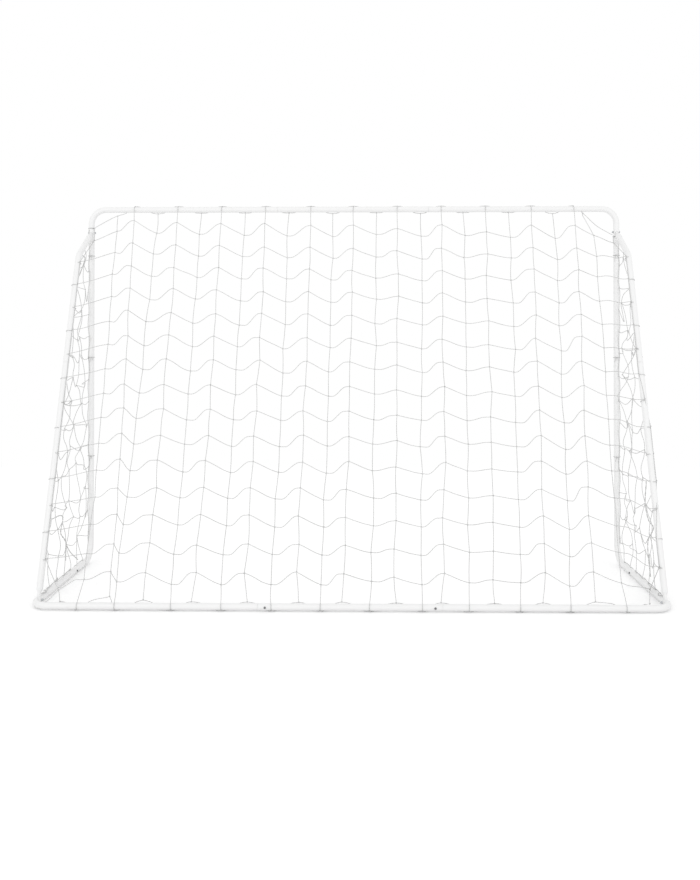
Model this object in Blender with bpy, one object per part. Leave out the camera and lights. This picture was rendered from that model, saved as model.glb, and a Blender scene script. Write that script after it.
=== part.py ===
"""Garden sports goal: a white steel tube frame in push-fit sections, with a knotted square-mesh net.

Metres. X runs along the goal's width, the open mouth faces -Y, the rear bar lies at +Y and Z is up.
The origin is on the ground, in the middle of the goal's footprint.
"""

import math

import bmesh
import bpy
from mathutils import Matrix, Vector

# Overall size, over the tubes
OVERALL_WIDTH = 1.830
OVERALL_HEIGHT = 1.220
OVERALL_DEPTH = 0.610

# Frame tube
TUBE_DIAMETER = 0.020
TUBE_WALL = 0.001
TOP_BEND_RADIUS = 0.050
FOOT_BEND_RADIUS = 0.055
REAR_BEND_RADIUS = 0.050
TUBE_SIDES = 12
BEND_STEPS = 6

# Push-fit joints, measured at the shoulder that stops the outer tube
FIT_GAP = 0.0003
PLUG_LENGTH = 0.042
PLUG_WALL = 0.001
PLUG_LEAD_IN = 0.0015
SWAGE_LENGTH = 0.004
CENTRE_SECTION_LENGTH = 0.522
UPRIGHT_JOINT_HEIGHT = 0.690
SIDE_JOINT_DEPTH = 0.210

# Snap button and the bent leaf spring behind it
BUTTON_DIAMETER = 0.006
BUTTON_PROUD = 0.003
BUTTON_DOME = 0.0012
BUTTON_SIDES = 12
DOME_TURN = math.radians(65)
DOME_STEPS = 2
FLANGE_LEDGE = 0.0006
FLANGE_THICKNESS = 0.0008
LEAF_WIDTH = 0.005
LEAF_THICKNESS = 0.0005
LEAF_REACH = 0.016
LEAF_TIP = 0.004
LEAF_BEND_STEPS = 6

# Struts between the uprights and the side tubes
STRUT_DIAMETER = 0.019
STRUT_WALL = 0.001
STRUT_TOP_DROP = 0.080
STRUT_BEND_DEPTH = 0.150
STRUT_BEND_DROP = 0.090
STRUT_BEND_RADIUS = 0.060
STRUT_FOOT_SETBACK = 0.062
STRUT_JOINT_HEIGHT = 0.690
PEG_DIAMETER = 0.012
PEG_WALL = 0.001
PEG_TAPER = 0.012
PEG_NECK = 0.008
PEG_PAST_AXIS = 0.005

# Cross bolts through the strut ends
BOLT_DIAMETER = 0.004
BOLT_HEAD_DIAMETER = 0.0075
BOLT_HEAD_HEIGHT = 0.0024
BOLT_PAST_NUT = 0.002
NUT_WIDTH = 0.007
NUT_HEIGHT = 0.0032
BOLT_SIDES = 12
NUT_SIDES = 6

# Net: a slanted back panel and two side panels of square mesh, and ties round the uprights
NET_CORD = 0.002
NET_CORD_SIDES = 4
BACK_COLUMNS = 20
BACK_ROWS = 12
BACK_ZIGZAG = 0.033
BACK_TOP_INSET = 0.115
BACK_SIDE_PULL = (1.0, 0.45, 0.15)
SIDE_COLUMNS = 5
SIDE_ROWS = 6
SIDE_ZIGZAG = 0.020
SIDE_TOP_DROP = 0.028
SIDE_REAR_DROP = 0.118
TIE_HEIGHTS = (1.050, 0.700, 0.360)
TIE_STEPS = 12

# Colours: white powder coat, bright steel, off-white twine
POWDER_COAT = ("powder_coat", (0.86, 0.86, 0.87), 0.42, 0.0)
BRIGHT_STEEL = ("bright_steel", (0.55, 0.56, 0.58), 0.30, 1.0)
DARK_STEEL = ("dark_steel", (0.10, 0.10, 0.11), 0.40, 1.0)
TWINE = ("twine", (0.80, 0.80, 0.80), 0.85, 0.0)

# Places that follow from the sizes above
TUBE_RADIUS = TUBE_DIAMETER / 2
CORNER_RADIUS = TUBE_RADIUS / math.cos(math.pi / TUBE_SIDES)
PLUG_RADIUS = TUBE_RADIUS - TUBE_WALL - FIT_GAP
PLUG_BORE = PLUG_RADIUS - PLUG_WALL
SIDE_X = OVERALL_WIDTH / 2 - TUBE_RADIUS
FRONT_Y = TUBE_RADIUS - OVERALL_DEPTH / 2
REAR_Y = OVERALL_DEPTH / 2 - TUBE_RADIUS
GROUND_Z = TUBE_RADIUS
TOP_Z = OVERALL_HEIGHT - TUBE_RADIUS
CENTRE_END_X = CENTRE_SECTION_LENGTH / 2
SIDE_JOINT_Y = FRONT_Y + SIDE_JOINT_DEPTH
FLANGE_RADIUS = BUTTON_DIAMETER / 2 + FLANGE_LEDGE
STRUT_RADIUS = STRUT_DIAMETER / 2
STRUT_CORNER_RADIUS = STRUT_RADIUS / math.cos(math.pi / TUBE_SIDES)
STRUT_PLUG_RADIUS = STRUT_RADIUS - STRUT_WALL - FIT_GAP
STRUT_PLUG_BORE = STRUT_PLUG_RADIUS - PLUG_WALL
STRUT_TOP = Vector((0, FRONT_Y, TOP_Z - STRUT_TOP_DROP))
STRUT_BEND = STRUT_TOP + Vector((0, STRUT_BEND_DEPTH, -STRUT_BEND_DROP))
STRUT_FOOT = Vector((0, REAR_Y - STRUT_FOOT_SETBACK, GROUND_Z))
UPPER_LEG = (STRUT_BEND - STRUT_TOP).normalized()
LOWER_LEG = (STRUT_FOOT - STRUT_BEND).normalized()
STRUT_SHOULDER = STRUT_BEND + LOWER_LEG * ((STRUT_JOINT_HEIGHT - STRUT_BEND.z) / LOWER_LEG.z)

X_AXIS = Vector((1, 0, 0))
Y_AXIS = Vector((0, 1, 0))
Z_AXIS = Vector((0, 0, 1))
SIDES = {"left": -1, "right": 1}


def clear_scene():
    for item in list(bpy.data.objects):
        bpy.data.objects.remove(item, do_unlink=True)


def finish_material(finish):
    """The material of a finish, made once: name, colour, roughness and metallic value."""
    name, colour, roughness, metallic = finish
    material = bpy.data.materials.get(name)
    if material:
        return material
    material = bpy.data.materials.new(name)
    material.use_nodes = True
    shader = material.node_tree.nodes["Principled BSDF"]
    shader.inputs["Base Color"].default_value = (*colour, 1.0)
    shader.inputs["Roughness"].default_value = roughness
    shader.inputs["Metallic"].default_value = metallic
    material.diffuse_color = (*colour, 1.0)
    return material


def add_object(name, bm, finish, smooth_angle=40):
    """Closes a mesh into a named object with its faces pointing out."""
    bmesh.ops.recalc_face_normals(bm, faces=bm.faces)
    mesh = bpy.data.meshes.new(name)
    bm.to_mesh(mesh)
    bm.free()
    mesh.shade_smooth()
    mesh.set_sharp_from_angle(angle=math.radians(smooth_angle))
    item = bpy.data.objects.new(name, mesh)
    item.data.materials.append(finish_material(finish))
    bpy.context.collection.objects.link(item)
    return item


def mirrored(vector, side):
    """A place on the left or right side frame, from its place in the side frame's plane."""
    return Vector((side * SIDE_X, vector.y, vector.z))


def ring(bm, centre, tangent, binormal, radius, sides):
    """A round section. Its flats, not its corners, lie at the radius, and two of them face the binormal."""
    normal = binormal.cross(tangent).normalized()
    corner = radius / math.cos(math.pi / sides)
    turns = [(k + 0.5) * 2 * math.pi / sides for k in range(sides)]
    return [
        bm.verts.new(centre + corner * (math.cos(a) * binormal + math.sin(a) * normal))
        for a in turns
    ]


def skin(bm, first, second):
    """Joins two rings of as many points with quads."""
    count = len(first)
    for k in range(count):
        after = (k + 1) % count
        bm.faces.new((first[k], first[after], second[after], second[k]))


def bent_path(corners, radius):
    """Points and directions along straight runs whose inner corners are arcs of the given radius."""
    stations = [(corners[0], (corners[1] - corners[0]).normalized())]
    for before, corner, after in zip(corners, corners[1:], corners[2:]):
        come = (corner - before).normalized()
        leave = (after - corner).normalized()
        turn = come.angle(leave)
        axis = come.cross(leave).normalized()
        start = corner - come * radius * math.tan(turn / 2)
        centre = start + axis.cross(come) * radius
        steps = max(2, round(BEND_STEPS * turn / (math.pi / 2)))
        for k in range(steps + 1):
            spin = Matrix.Rotation(turn * k / steps, 3, axis)
            stations.append((centre + spin @ (start - centre), spin @ come))
    stations.append((corners[-1], (corners[-1] - corners[-2]).normalized()))
    return stations


def plug_end(point, outward, wall_bore, radius, bore):
    """Outer and inner rings of a narrowed end that another tube slides over, from the shoulder to the tip."""
    tip = point + outward * PLUG_LENGTH
    outer = [(point, radius), (tip - outward * PLUG_LEAD_IN, radius), (tip, radius - PLUG_LEAD_IN / 2)]
    inner = [(point - outward * SWAGE_LENGTH, wall_bore), (point, bore), (tip, bore)]
    return outer, inner


def peg_end(point, outward, wall_bore, length):
    """Outer and inner rings of a strut's tapered end with its peg."""
    neck = point + outward * PEG_TAPER
    tip = neck + outward * length
    peg = PEG_DIAMETER / 2
    outer = [(neck, peg), (tip, peg)]
    inner = [(point, wall_bore), (neck, peg - PEG_WALL), (tip, peg - PEG_WALL)]
    return outer, inner


def tube(name, corners, bend_radius, binormal, diameter, wall, start=None, end=None):
    """A bent steel tube. Each end is cut off square, or has the rings that start and end give."""
    radius = diameter / 2
    stations = bent_path(corners, bend_radius)
    tangents = [stations[0][1], stations[-1][1]]
    outer = [(point, tangent, radius) for point, tangent in stations]
    inner = [(point, tangent, radius - wall) for point, tangent in stations]
    if start:
        outer = [(p, tangents[0], r) for p, r in reversed(start[0])] + outer
        inner = [(p, tangents[0], r) for p, r in reversed(start[1])] + inner[1:]
    if end:
        outer = outer + [(p, tangents[1], r) for p, r in end[0]]
        inner = inner[:-1] + [(p, tangents[1], r) for p, r in end[1]]
    bm = bmesh.new()
    loop = [ring(bm, p, t, binormal, r, TUBE_SIDES) for p, t, r in outer + inner[::-1]]
    for first, second in zip(loop, loop[1:] + loop[:1]):
        skin(bm, first, second)
    return add_object(name, bm, POWDER_COAT)


def frame_tube(name, corners, bend_radius, binormal, start, end):
    """A frame tube whose two ends are each a plug or a socket, given as those words."""
    ends = []
    for kind, point, inside in ((start, corners[0], corners[1]), (end, corners[-1], corners[-2])):
        outward = (point - inside).normalized()
        plug = plug_end(point, outward, TUBE_RADIUS - TUBE_WALL, PLUG_RADIUS, PLUG_BORE)
        ends.append(plug if kind == "plug" else None)
    return tube(name, corners, bend_radius, binormal, TUBE_DIAMETER, TUBE_WALL, *ends)


def add_centre_sections():
    """The crossbar's and the rear bar's middle tubes, with a socket at each end."""
    half = Vector((CENTRE_END_X - FIT_GAP, 0, 0))
    middles = {
        "crossbar_centre": Vector((0, FRONT_Y, TOP_Z)),
        "rear_bar_centre": Vector((0, REAR_Y, GROUND_Z)),
    }
    return [
        frame_tube(name, [middle - half, middle + half], 0, Z_AXIS, "socket", "socket")
        for name, middle in middles.items()
    ]


def add_corner_sections(label, side):
    """The three bent frame tubes of one side."""
    top = [
        Vector((side * CENTRE_END_X, FRONT_Y, TOP_Z)),
        Vector((side * SIDE_X, FRONT_Y, TOP_Z)),
        Vector((side * SIDE_X, FRONT_Y, UPRIGHT_JOINT_HEIGHT + FIT_GAP)),
    ]
    upright = [
        Vector((side * SIDE_X, FRONT_Y, UPRIGHT_JOINT_HEIGHT)),
        Vector((side * SIDE_X, FRONT_Y, GROUND_Z)),
        Vector((side * SIDE_X, SIDE_JOINT_Y - FIT_GAP, GROUND_Z)),
    ]
    rear = [
        Vector((side * SIDE_X, SIDE_JOINT_Y, GROUND_Z)),
        Vector((side * SIDE_X, REAR_Y, GROUND_Z)),
        Vector((side * CENTRE_END_X, REAR_Y, GROUND_Z)),
    ]
    return [
        frame_tube(f"top_corner_{label}", top, TOP_BEND_RADIUS, Y_AXIS, "plug", "socket"),
        frame_tube(f"upright_{label}", upright, FOOT_BEND_RADIUS, X_AXIS, "plug", "socket"),
        frame_tube(f"rear_corner_{label}", rear, REAR_BEND_RADIUS, Z_AXIS, "plug", "plug"),
    ]


def peg_start(axis_point, outward, tube_axis):
    """Where a strut's full diameter ends and how long its peg is, at a point of the carrying tube's axis."""
    neck_length = TUBE_RADIUS / outward.cross(tube_axis).length + PEG_NECK
    taper_start = axis_point - outward * (neck_length + PEG_TAPER)
    return taper_start, neck_length + PEG_PAST_AXIS


def add_struts(label, side):
    """One side's strut: the upper length holds the bend and a socket, the lower one has the plug."""
    bore = STRUT_RADIUS - STRUT_WALL
    top, top_peg = peg_start(mirrored(STRUT_TOP, side), -UPPER_LEG, Z_AXIS)
    foot, foot_peg = peg_start(mirrored(STRUT_FOOT, side), LOWER_LEG, Y_AXIS)
    shoulder = mirrored(STRUT_SHOULDER, side)
    upper = tube(
        f"strut_upper_{label}",
        [top, mirrored(STRUT_BEND, side), shoulder - LOWER_LEG * FIT_GAP],
        STRUT_BEND_RADIUS,
        X_AXIS,
        STRUT_DIAMETER,
        STRUT_WALL,
        start=peg_end(top, -UPPER_LEG, bore, top_peg),
    )
    lower = tube(
        f"strut_lower_{label}",
        [shoulder, foot],
        0,
        X_AXIS,
        STRUT_DIAMETER,
        STRUT_WALL,
        start=plug_end(shoulder, -LOWER_LEG, bore, STRUT_PLUG_RADIUS, STRUT_PLUG_BORE),
        end=peg_end(foot, LOWER_LEG, bore, foot_peg),
    )
    return [upper, lower]


def snap_places():
    """Each button: its name, its place on the plug's axis, the way it points, the plug's way, two radii."""
    reach = PLUG_LENGTH / 2
    frame = (TUBE_RADIUS, PLUG_BORE)
    strut = (STRUT_RADIUS, STRUT_PLUG_BORE)
    flat = 2 * math.pi / TUBE_SIDES
    places = []
    for label, side in SIDES.items():
        inward = -side * X_AXIS
        # A strut's button is one flat of the tube towards the front, so it can't be seen from behind.
        strut_button = side * X_AXIS * math.cos(flat) + LOWER_LEG.cross(X_AXIS) * math.sin(flat)
        crossbar = Vector((side * CENTRE_END_X, FRONT_Y, TOP_Z))
        rear_bar = Vector((side * CENTRE_END_X, REAR_Y, GROUND_Z))
        upright = Vector((side * SIDE_X, FRONT_Y, UPRIGHT_JOINT_HEIGHT))
        side_tube = Vector((side * SIDE_X, SIDE_JOINT_Y, GROUND_Z))
        shoulder = mirrored(STRUT_SHOULDER, side)
        places += [
            (f"crossbar_{label}", crossbar + inward * reach, -Y_AXIS, inward, frame),
            (f"rear_bar_{label}", rear_bar + inward * reach, Y_AXIS, inward, frame),
            (f"upright_{label}", upright + Z_AXIS * reach, -Y_AXIS, Z_AXIS, frame),
            (f"side_tube_{label}", side_tube - Y_AXIS * reach, inward, -Y_AXIS, frame),
            (f"strut_{label}", shoulder - LOWER_LEG * reach, strut_button, -LOWER_LEG, strut),
        ]
    return places


def flat_side(radius, half_width):
    """How far out a flat strip of the given half width can go inside a bore of flats at the radius."""
    step = 2 * math.pi / TUBE_SIDES
    return min(radius, (radius - half_width * math.sin(step)) / math.cos(step))


def turned(bm, profile, sides):
    """A closed turned solid about Z, from a list of radius and height pairs, bottom to top."""
    rings = [ring(bm, Vector((0, 0, z)), Z_AXIS, X_AXIS, r, sides) for r, z in profile]
    for first, second in zip(rings, rings[1:]):
        skin(bm, first, second)
    bm.faces.new(rings[0])
    bm.faces.new(rings[-1])


def dome(radius, base, height):
    """The radius and height pairs of a dome with a small flat crown."""
    turns = [DOME_TURN * k / DOME_STEPS for k in range(DOME_STEPS + 1)]
    return [(radius * math.cos(t), base + height * math.sin(t) / math.sin(DOME_TURN)) for t in turns]


def leaf_levels(bore):
    """Heights of the flange's top and of the leaf's two legs, from the plug's axis."""
    flange_top = flat_side(bore, FLANGE_RADIUS) - FIT_GAP
    upper = flange_top - FLANGE_THICKNESS - FIT_GAP - LEAF_THICKNESS / 2
    lower = LEAF_THICKNESS / 2 + FIT_GAP - flat_side(bore, LEAF_WIDTH / 2)
    return flange_top, upper, lower


def place(item, at, out, along):
    """Puts a piece modelled with Z out and X along at its joint."""
    item.matrix_world = Matrix.Translation(at) @ Matrix((along, out.cross(along), out)).transposed().to_4x4()


def add_snap_button(name, at, out, along, radius, bore):
    """A domed button with a flange that stops against the plug's bore. Its origin is on its slide's axis."""
    flange_top = leaf_levels(bore)[0]
    top = radius + BUTTON_PROUD
    body = BUTTON_DIAMETER / 2
    profile = [
        (FLANGE_RADIUS, flange_top - FLANGE_THICKNESS),
        (FLANGE_RADIUS, flange_top),
        (body, flange_top),
        *dome(body, top - BUTTON_DOME, BUTTON_DOME),
    ]
    bm = bmesh.new()
    turned(bm, profile, BUTTON_SIDES)
    place(add_object(f"snap_button_{name}", bm, DARK_STEEL), at, out, along)


def add_leaf_spring(name, at, out, along, bore):
    """A strip bent double: one leg under the button's flange, the other on the far side of the bore."""
    upper, lower = leaf_levels(bore)[1:]
    bend = (upper - lower) / 2
    middle = (upper + lower) / 2
    path = [(LEAF_TIP, upper, 0.0)]
    for k in range(LEAF_BEND_STEPS + 1):
        turn = math.pi * k / LEAF_BEND_STEPS
        path.append((-LEAF_REACH - bend * math.sin(turn), middle + bend * math.cos(turn), turn))
    path.append((LEAF_TIP, lower, math.pi))
    half = LEAF_THICKNESS / 2
    bm = bmesh.new()
    rings = []
    for x, z, turn in path:
        across = Vector((-math.sin(turn), 0, math.cos(turn)))
        centre = Vector((x, 0, z))
        edge = Vector((0, LEAF_WIDTH / 2, 0))
        corners = (across * half + edge, across * half - edge, -across * half - edge, -across * half + edge)
        rings.append([bm.verts.new(centre + corner) for corner in corners])
    for first, second in zip(rings, rings[1:]):
        skin(bm, first, second)
    bm.faces.new(rings[0])
    bm.faces.new(rings[-1])
    place(add_object(f"leaf_spring_{name}", bm, BRIGHT_STEEL), at, out, along)


def cutter(name, cylinders):
    """Hidden round cutters, joined in one object: each a start, a direction, a length and a radius."""
    bm = bmesh.new()
    for start, along, length, radius in cylinders:
        binormal = along.orthogonal().normalized()
        rings = [ring(bm, start + along * s, along, binormal, radius, BOLT_SIDES) for s in (0, length)]
        skin(bm, *rings)
        bm.faces.new(rings[0])
        bm.faces.new(rings[1])
    item = add_object(name, bm, POWDER_COAT)
    item.hide_render = True
    item.display_type = "WIRE"
    return item


def cut(item, tool):
    hole = item.modifiers.new(tool.name, "BOOLEAN")
    hole.operation = "DIFFERENCE"
    hole.solver = "EXACT"
    hole.object = tool


def bolt_places():
    """Each cross bolt: its name, the point of the tube's axis that it crosses, and the side it is on."""
    ends = {"top": STRUT_TOP, "foot": STRUT_FOOT}
    return [
        (f"{end}_{label}", mirrored(point, side), side)
        for label, side in SIDES.items()
        for end, point in ends.items()
    ]


def add_bolt_and_nut(name, at, side):
    """A dome-headed bolt from the outer side of the tube, and its hexagon nut on the inner side."""
    shank = BOLT_DIAMETER / 2
    head = BOLT_HEAD_DIAMETER / 2
    seat = TUBE_RADIUS + FIT_GAP
    nut_end = -seat - NUT_HEIGHT
    profile = [
        (shank, nut_end - BOLT_PAST_NUT),
        (shank, seat),
        (head, seat),
        *dome(head, seat + BOLT_HEAD_HEIGHT / 2, BOLT_HEAD_HEIGHT / 2),
    ]
    bolt = bmesh.new()
    turned(bolt, profile, BOLT_SIDES)
    place(add_object(f"strut_bolt_{name}", bolt, BRIGHT_STEEL), at, side * X_AXIS, Y_AXIS)
    nut = bmesh.new()
    section = [
        (NUT_WIDTH / 2, nut_end),
        (NUT_WIDTH / 2, -seat),
        (shank + FIT_GAP, -seat),
        (shank + FIT_GAP, nut_end),
    ]
    loop = [ring(nut, Vector((0, 0, z)), Z_AXIS, X_AXIS, r, NUT_SIDES) for r, z in section]
    for first, second in zip(loop, loop[1:] + loop[:1]):
        skin(nut, first, second)
    place(add_object(f"strut_nut_{name}", nut, BRIGHT_STEEL), at, side * X_AXIS, Y_AXIS)


def cut_holes(tubes):
    """Button holes through socket and plug, peg holes in the carrying tubes, and bolt holes across both."""
    grow = FIT_GAP
    buttons = cutter(
        "button_hole_cutter",
        [
            (at, out, radius + TUBE_WALL, BUTTON_DIAMETER / 2 + grow)
            for _, at, out, _, (radius, _) in snap_places()
        ],
    )
    pegs = cutter(
        "peg_hole_cutter",
        [
            (mirrored(point, side), direction, TUBE_DIAMETER, PEG_DIAMETER / 2 + grow)
            for side in SIDES.values()
            for point, direction in ((STRUT_TOP, UPPER_LEG), (STRUT_FOOT, -LOWER_LEG))
        ],
    )
    bolts = cutter(
        "bolt_hole_cutter",
        [
            (at - X_AXIS * TUBE_DIAMETER, X_AXIS, TUBE_DIAMETER * 2, BOLT_DIAMETER / 2 + grow)
            for _, at, _ in bolt_places()
        ],
    )
    for item in tubes:
        cut(item, buttons)
        if item.name.startswith(("top_corner", "rear_corner")):
            cut(item, pegs)
        if item.name.startswith(("top_corner", "rear_corner", "strut")):
            cut(item, bolts)


def net_panel(name, crossings, across, down):
    """A net as one solid: a small block at each crossing, with straight square cords between them."""
    half = NET_CORD / 2
    normal = across.cross(down).normalized() * half
    bm = bmesh.new()
    blocks = {}
    for row, places in enumerate(crossings):
        for column, place_at in enumerate(places):
            blocks[row, column] = {
                (a, d, n): bm.verts.new(place_at + across * (a * half) + down * (d * half) + normal * n)
                for a in (-1, 1)
                for d in (-1, 1)
                for n in (-1, 1)
            }
    for (row, column), block in blocks.items():
        for n in (-1, 1):
            bm.faces.new([block[a, d, n] for a, d in ((-1, -1), (1, -1), (1, 1), (-1, 1))])
        beyond = blocks.get((row, column + 1))
        below = blocks.get((row + 1, column))
        join_or_cap(bm, side_face(block, 0, 1), beyond and side_face(beyond, 0, -1))
        join_or_cap(bm, side_face(block, 1, 1), below and side_face(below, 1, -1))
        if column == 0:
            bm.faces.new(side_face(block, 0, -1))
        if row == 0:
            bm.faces.new(side_face(block, 1, -1))
    add_object(name, bm, TWINE)


def side_face(block, axis, end):
    """The four corners of a crossing's face towards a neighbour: axis 0 across the net, 1 down it."""
    corners = ((-1, -1), (1, -1), (1, 1), (-1, 1))
    return [block[(end, d, n) if axis == 0 else (d, end, n)] for d, n in corners]


def join_or_cap(bm, face, other):
    """A cord from one crossing's face to the next, or a flat end where there is no next."""
    if other:
        skin(bm, face, other)
    else:
        bm.faces.new(face)


def strut_axis_y(z):
    """How far back a strut's axis is at a height."""
    if z > STRUT_TOP.z:
        return STRUT_TOP.y
    start, leg = (STRUT_TOP, UPPER_LEG) if z > STRUT_BEND.z else (STRUT_BEND, LOWER_LEG)
    return start.y + leg.y * (z - start.z) / leg.z


def zigzag(column, row, rows, depth):
    """How far up a crossing is drawn: up on every second cord, down on the others, not on the edges."""
    if row in (0, rows):
        return 0.0
    return depth / 2 if column % 2 == 0 else -depth / 2


def add_back_net():
    """From under the crossbar down to the rear bar, with its side edges drawn back along the struts."""
    reach = CORNER_RADIUS + FIT_GAP + NET_CORD / math.sqrt(2)
    top = Vector((0, FRONT_Y, TOP_Z - reach))
    bottom = Vector((0, REAR_Y, GROUND_Z + reach))
    down = (bottom - top).normalized()
    half_width = SIDE_X - CORNER_RADIUS - FIT_GAP - NET_CORD / 2
    crossings = []
    for row in range(BACK_ROWS + 1):
        half = half_width if row else SIDE_X - BACK_TOP_INSET
        places = []
        for column in range(BACK_COLUMNS + 1):
            at = top.lerp(bottom, row / BACK_ROWS) - down * zigzag(column, row, BACK_ROWS, BACK_ZIGZAG)
            at.x = half * (2 * column / BACK_COLUMNS - 1)
            edge = min(column, BACK_COLUMNS - column)
            if 0 < row < BACK_ROWS and edge < len(BACK_SIDE_PULL):
                at.y += max(0.0, strut_axis_y(at.z) - at.y) * BACK_SIDE_PULL[edge]
            places.append(at)
        crossings.append(places)
    net_panel("net_back", crossings, X_AXIS, down)


def side_net_rows(side):
    """The crossings of a side net, from the upright's rear to the strut's front, top row first."""
    slope = LOWER_LEG.y / -LOWER_LEG.z
    lean = math.hypot(1, slope)
    strut_reach = (STRUT_CORNER_RADIUS + FIT_GAP) * lean + NET_CORD / 2 * (1 + slope)
    front_y = FRONT_Y + CORNER_RADIUS + FIT_GAP + NET_CORD / 2
    bottom = GROUND_Z + CORNER_RADIUS + FIT_GAP + NET_CORD / 2
    front_top = STRUT_TOP.z - SIDE_TOP_DROP
    rear_top = STRUT_TOP.z - SIDE_REAR_DROP
    crossings = []
    for row in range(SIDE_ROWS + 1):
        share = row / SIDE_ROWS
        front_z = front_top + (bottom - front_top) * share
        rear_z = rear_top + (bottom - rear_top) * share
        bend = FOOT_BEND_RADIUS if row == SIDE_ROWS else 0
        front = mirrored(Vector((0, max(front_y, FRONT_Y + bend), front_z)), side)
        rear = mirrored(Vector((0, strut_axis_y(rear_z) - strut_reach, rear_z)), side)
        places = []
        for column in range(SIDE_COLUMNS + 1):
            at = front.lerp(rear, column / SIDE_COLUMNS)
            if 0 < column < SIDE_COLUMNS:
                at.z += zigzag(column, row, SIDE_ROWS, SIDE_ZIGZAG)
            places.append(at)
        crossings.append(places)
    return crossings


def add_side_net_and_ties(label, side):
    """A side net, and the cord ties that hold its front edge to the upright."""
    net_panel(f"net_side_{label}", side_net_rows(side), Y_AXIS, -Z_AXIS)
    shift = NET_CORD / 2 + FIT_GAP / 2
    radius = CORNER_RADIUS + FIT_GAP + shift + NET_CORD / 2
    for number, height in enumerate(TIE_HEIGHTS, 1):
        centre = Vector((side * SIDE_X, FRONT_Y + shift, height))
        bm = bmesh.new()
        rings = []
        for k in range(TIE_STEPS):
            turn = (k + 0.5) * 2 * math.pi / TIE_STEPS
            out = Vector((math.cos(turn), math.sin(turn), 0))
            at = centre + out * (radius / math.cos(math.pi / TIE_STEPS))
            tangent = out.cross(Z_AXIS)
            rings.append(ring(bm, at, tangent, Z_AXIS, NET_CORD / 2, NET_CORD_SIDES))
        for first, second in zip(rings, rings[1:] + rings[:1]):
            skin(bm, first, second)
        add_object(f"net_tie_{label}_{number}", bm, TWINE)


def main():
    clear_scene()
    tubes = add_centre_sections()
    for label, side in SIDES.items():
        tubes += add_corner_sections(label, side) + add_struts(label, side)
        add_side_net_and_ties(label, side)
    cut_holes(tubes)
    for name, at, out, along, (radius, bore) in snap_places():
        add_snap_button(name, at, out, along, radius, bore)
        add_leaf_spring(name, at, out, along, bore)
    for name, at, side in bolt_places():
        add_bolt_and_nut(name, at, side)
    add_back_net()


main()
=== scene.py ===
"""Garden sports goal: fine tubes, snap buttons, bolts and a knotted twine net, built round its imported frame.

Metres, in the frame's own axes: X runs along the width, the open mouth faces -Y, the rear bar lies at +Y
and Z is up. The camera looks at the goal from behind, so the left of the picture is +X.
"""

import math

import bmesh
import bpy
import numpy as np
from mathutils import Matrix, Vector


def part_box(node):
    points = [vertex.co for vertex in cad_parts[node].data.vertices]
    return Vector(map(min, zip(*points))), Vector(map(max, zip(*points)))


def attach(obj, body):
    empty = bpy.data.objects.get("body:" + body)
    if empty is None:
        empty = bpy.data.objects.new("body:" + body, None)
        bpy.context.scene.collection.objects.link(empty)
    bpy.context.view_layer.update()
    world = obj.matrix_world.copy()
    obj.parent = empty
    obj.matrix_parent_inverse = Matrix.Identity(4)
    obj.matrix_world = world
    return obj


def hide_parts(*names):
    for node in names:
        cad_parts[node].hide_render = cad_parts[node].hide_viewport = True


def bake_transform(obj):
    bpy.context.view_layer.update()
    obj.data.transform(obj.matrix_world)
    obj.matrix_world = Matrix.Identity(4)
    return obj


bl_info = {
    "name": "Garden Sports Goal",
    "version": (1, 0, 0),
    "blender": (4, 5, 0),
    "location": "3D View > Sidebar > Goal",
    "description": "Fine tubes, snap buttons, bolts and a knotted twine net for a garden goal",
    "category": "Add Mesh",
}

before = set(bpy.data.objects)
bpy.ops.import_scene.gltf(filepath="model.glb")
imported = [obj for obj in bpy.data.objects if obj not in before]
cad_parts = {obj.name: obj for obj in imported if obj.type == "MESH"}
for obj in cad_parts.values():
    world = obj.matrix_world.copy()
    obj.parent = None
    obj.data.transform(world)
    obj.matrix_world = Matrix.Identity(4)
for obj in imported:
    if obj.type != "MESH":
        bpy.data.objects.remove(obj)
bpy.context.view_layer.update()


def node_box(node):
    """The lowest and the highest corner of a node of the frame, as arrays."""
    low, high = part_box(node)
    return np.array(low), np.array(high)


def unit(vectors):
    """The vectors at length 1."""
    return vectors / np.linalg.norm(vectors, axis=-1, keepdims=True)


# Directions and sides
X_AXIS = np.array((1.0, 0.0, 0.0))
Y_AXIS = np.array((0.0, 1.0, 0.0))
Z_AXIS = np.array((0.0, 0.0, 1.0))
SIDES = {"left": -1, "right": 1}

# Places read from the frame
FIT_GAP = 0.0003
REAR_LOW, REAR_HIGH = node_box("rear_bar_centre")
BAR_LOW, BAR_HIGH = node_box("crossbar_centre")
UPRIGHT_HIGH = node_box("upright_right")[1]
TUBE_RADIUS = (REAR_HIGH[2] - REAR_LOW[2]) / 2
CENTRE_END_X = REAR_HIGH[0] + FIT_GAP
SIDE_X = UPRIGHT_HIGH[0] - TUBE_RADIUS
FRONT_Y = (BAR_LOW[1] + BAR_HIGH[1]) / 2
REAR_Y = (REAR_LOW[1] + REAR_HIGH[1]) / 2
SIDE_JOINT_Y = UPRIGHT_HIGH[1] + FIT_GAP
GROUND_Z = (REAR_LOW[2] + REAR_HIGH[2]) / 2
TOP_Z = (BAR_LOW[2] + BAR_HIGH[2]) / 2
UPRIGHT_JOINT_Z = node_box("top_corner_right")[0][2] - FIT_GAP

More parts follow.
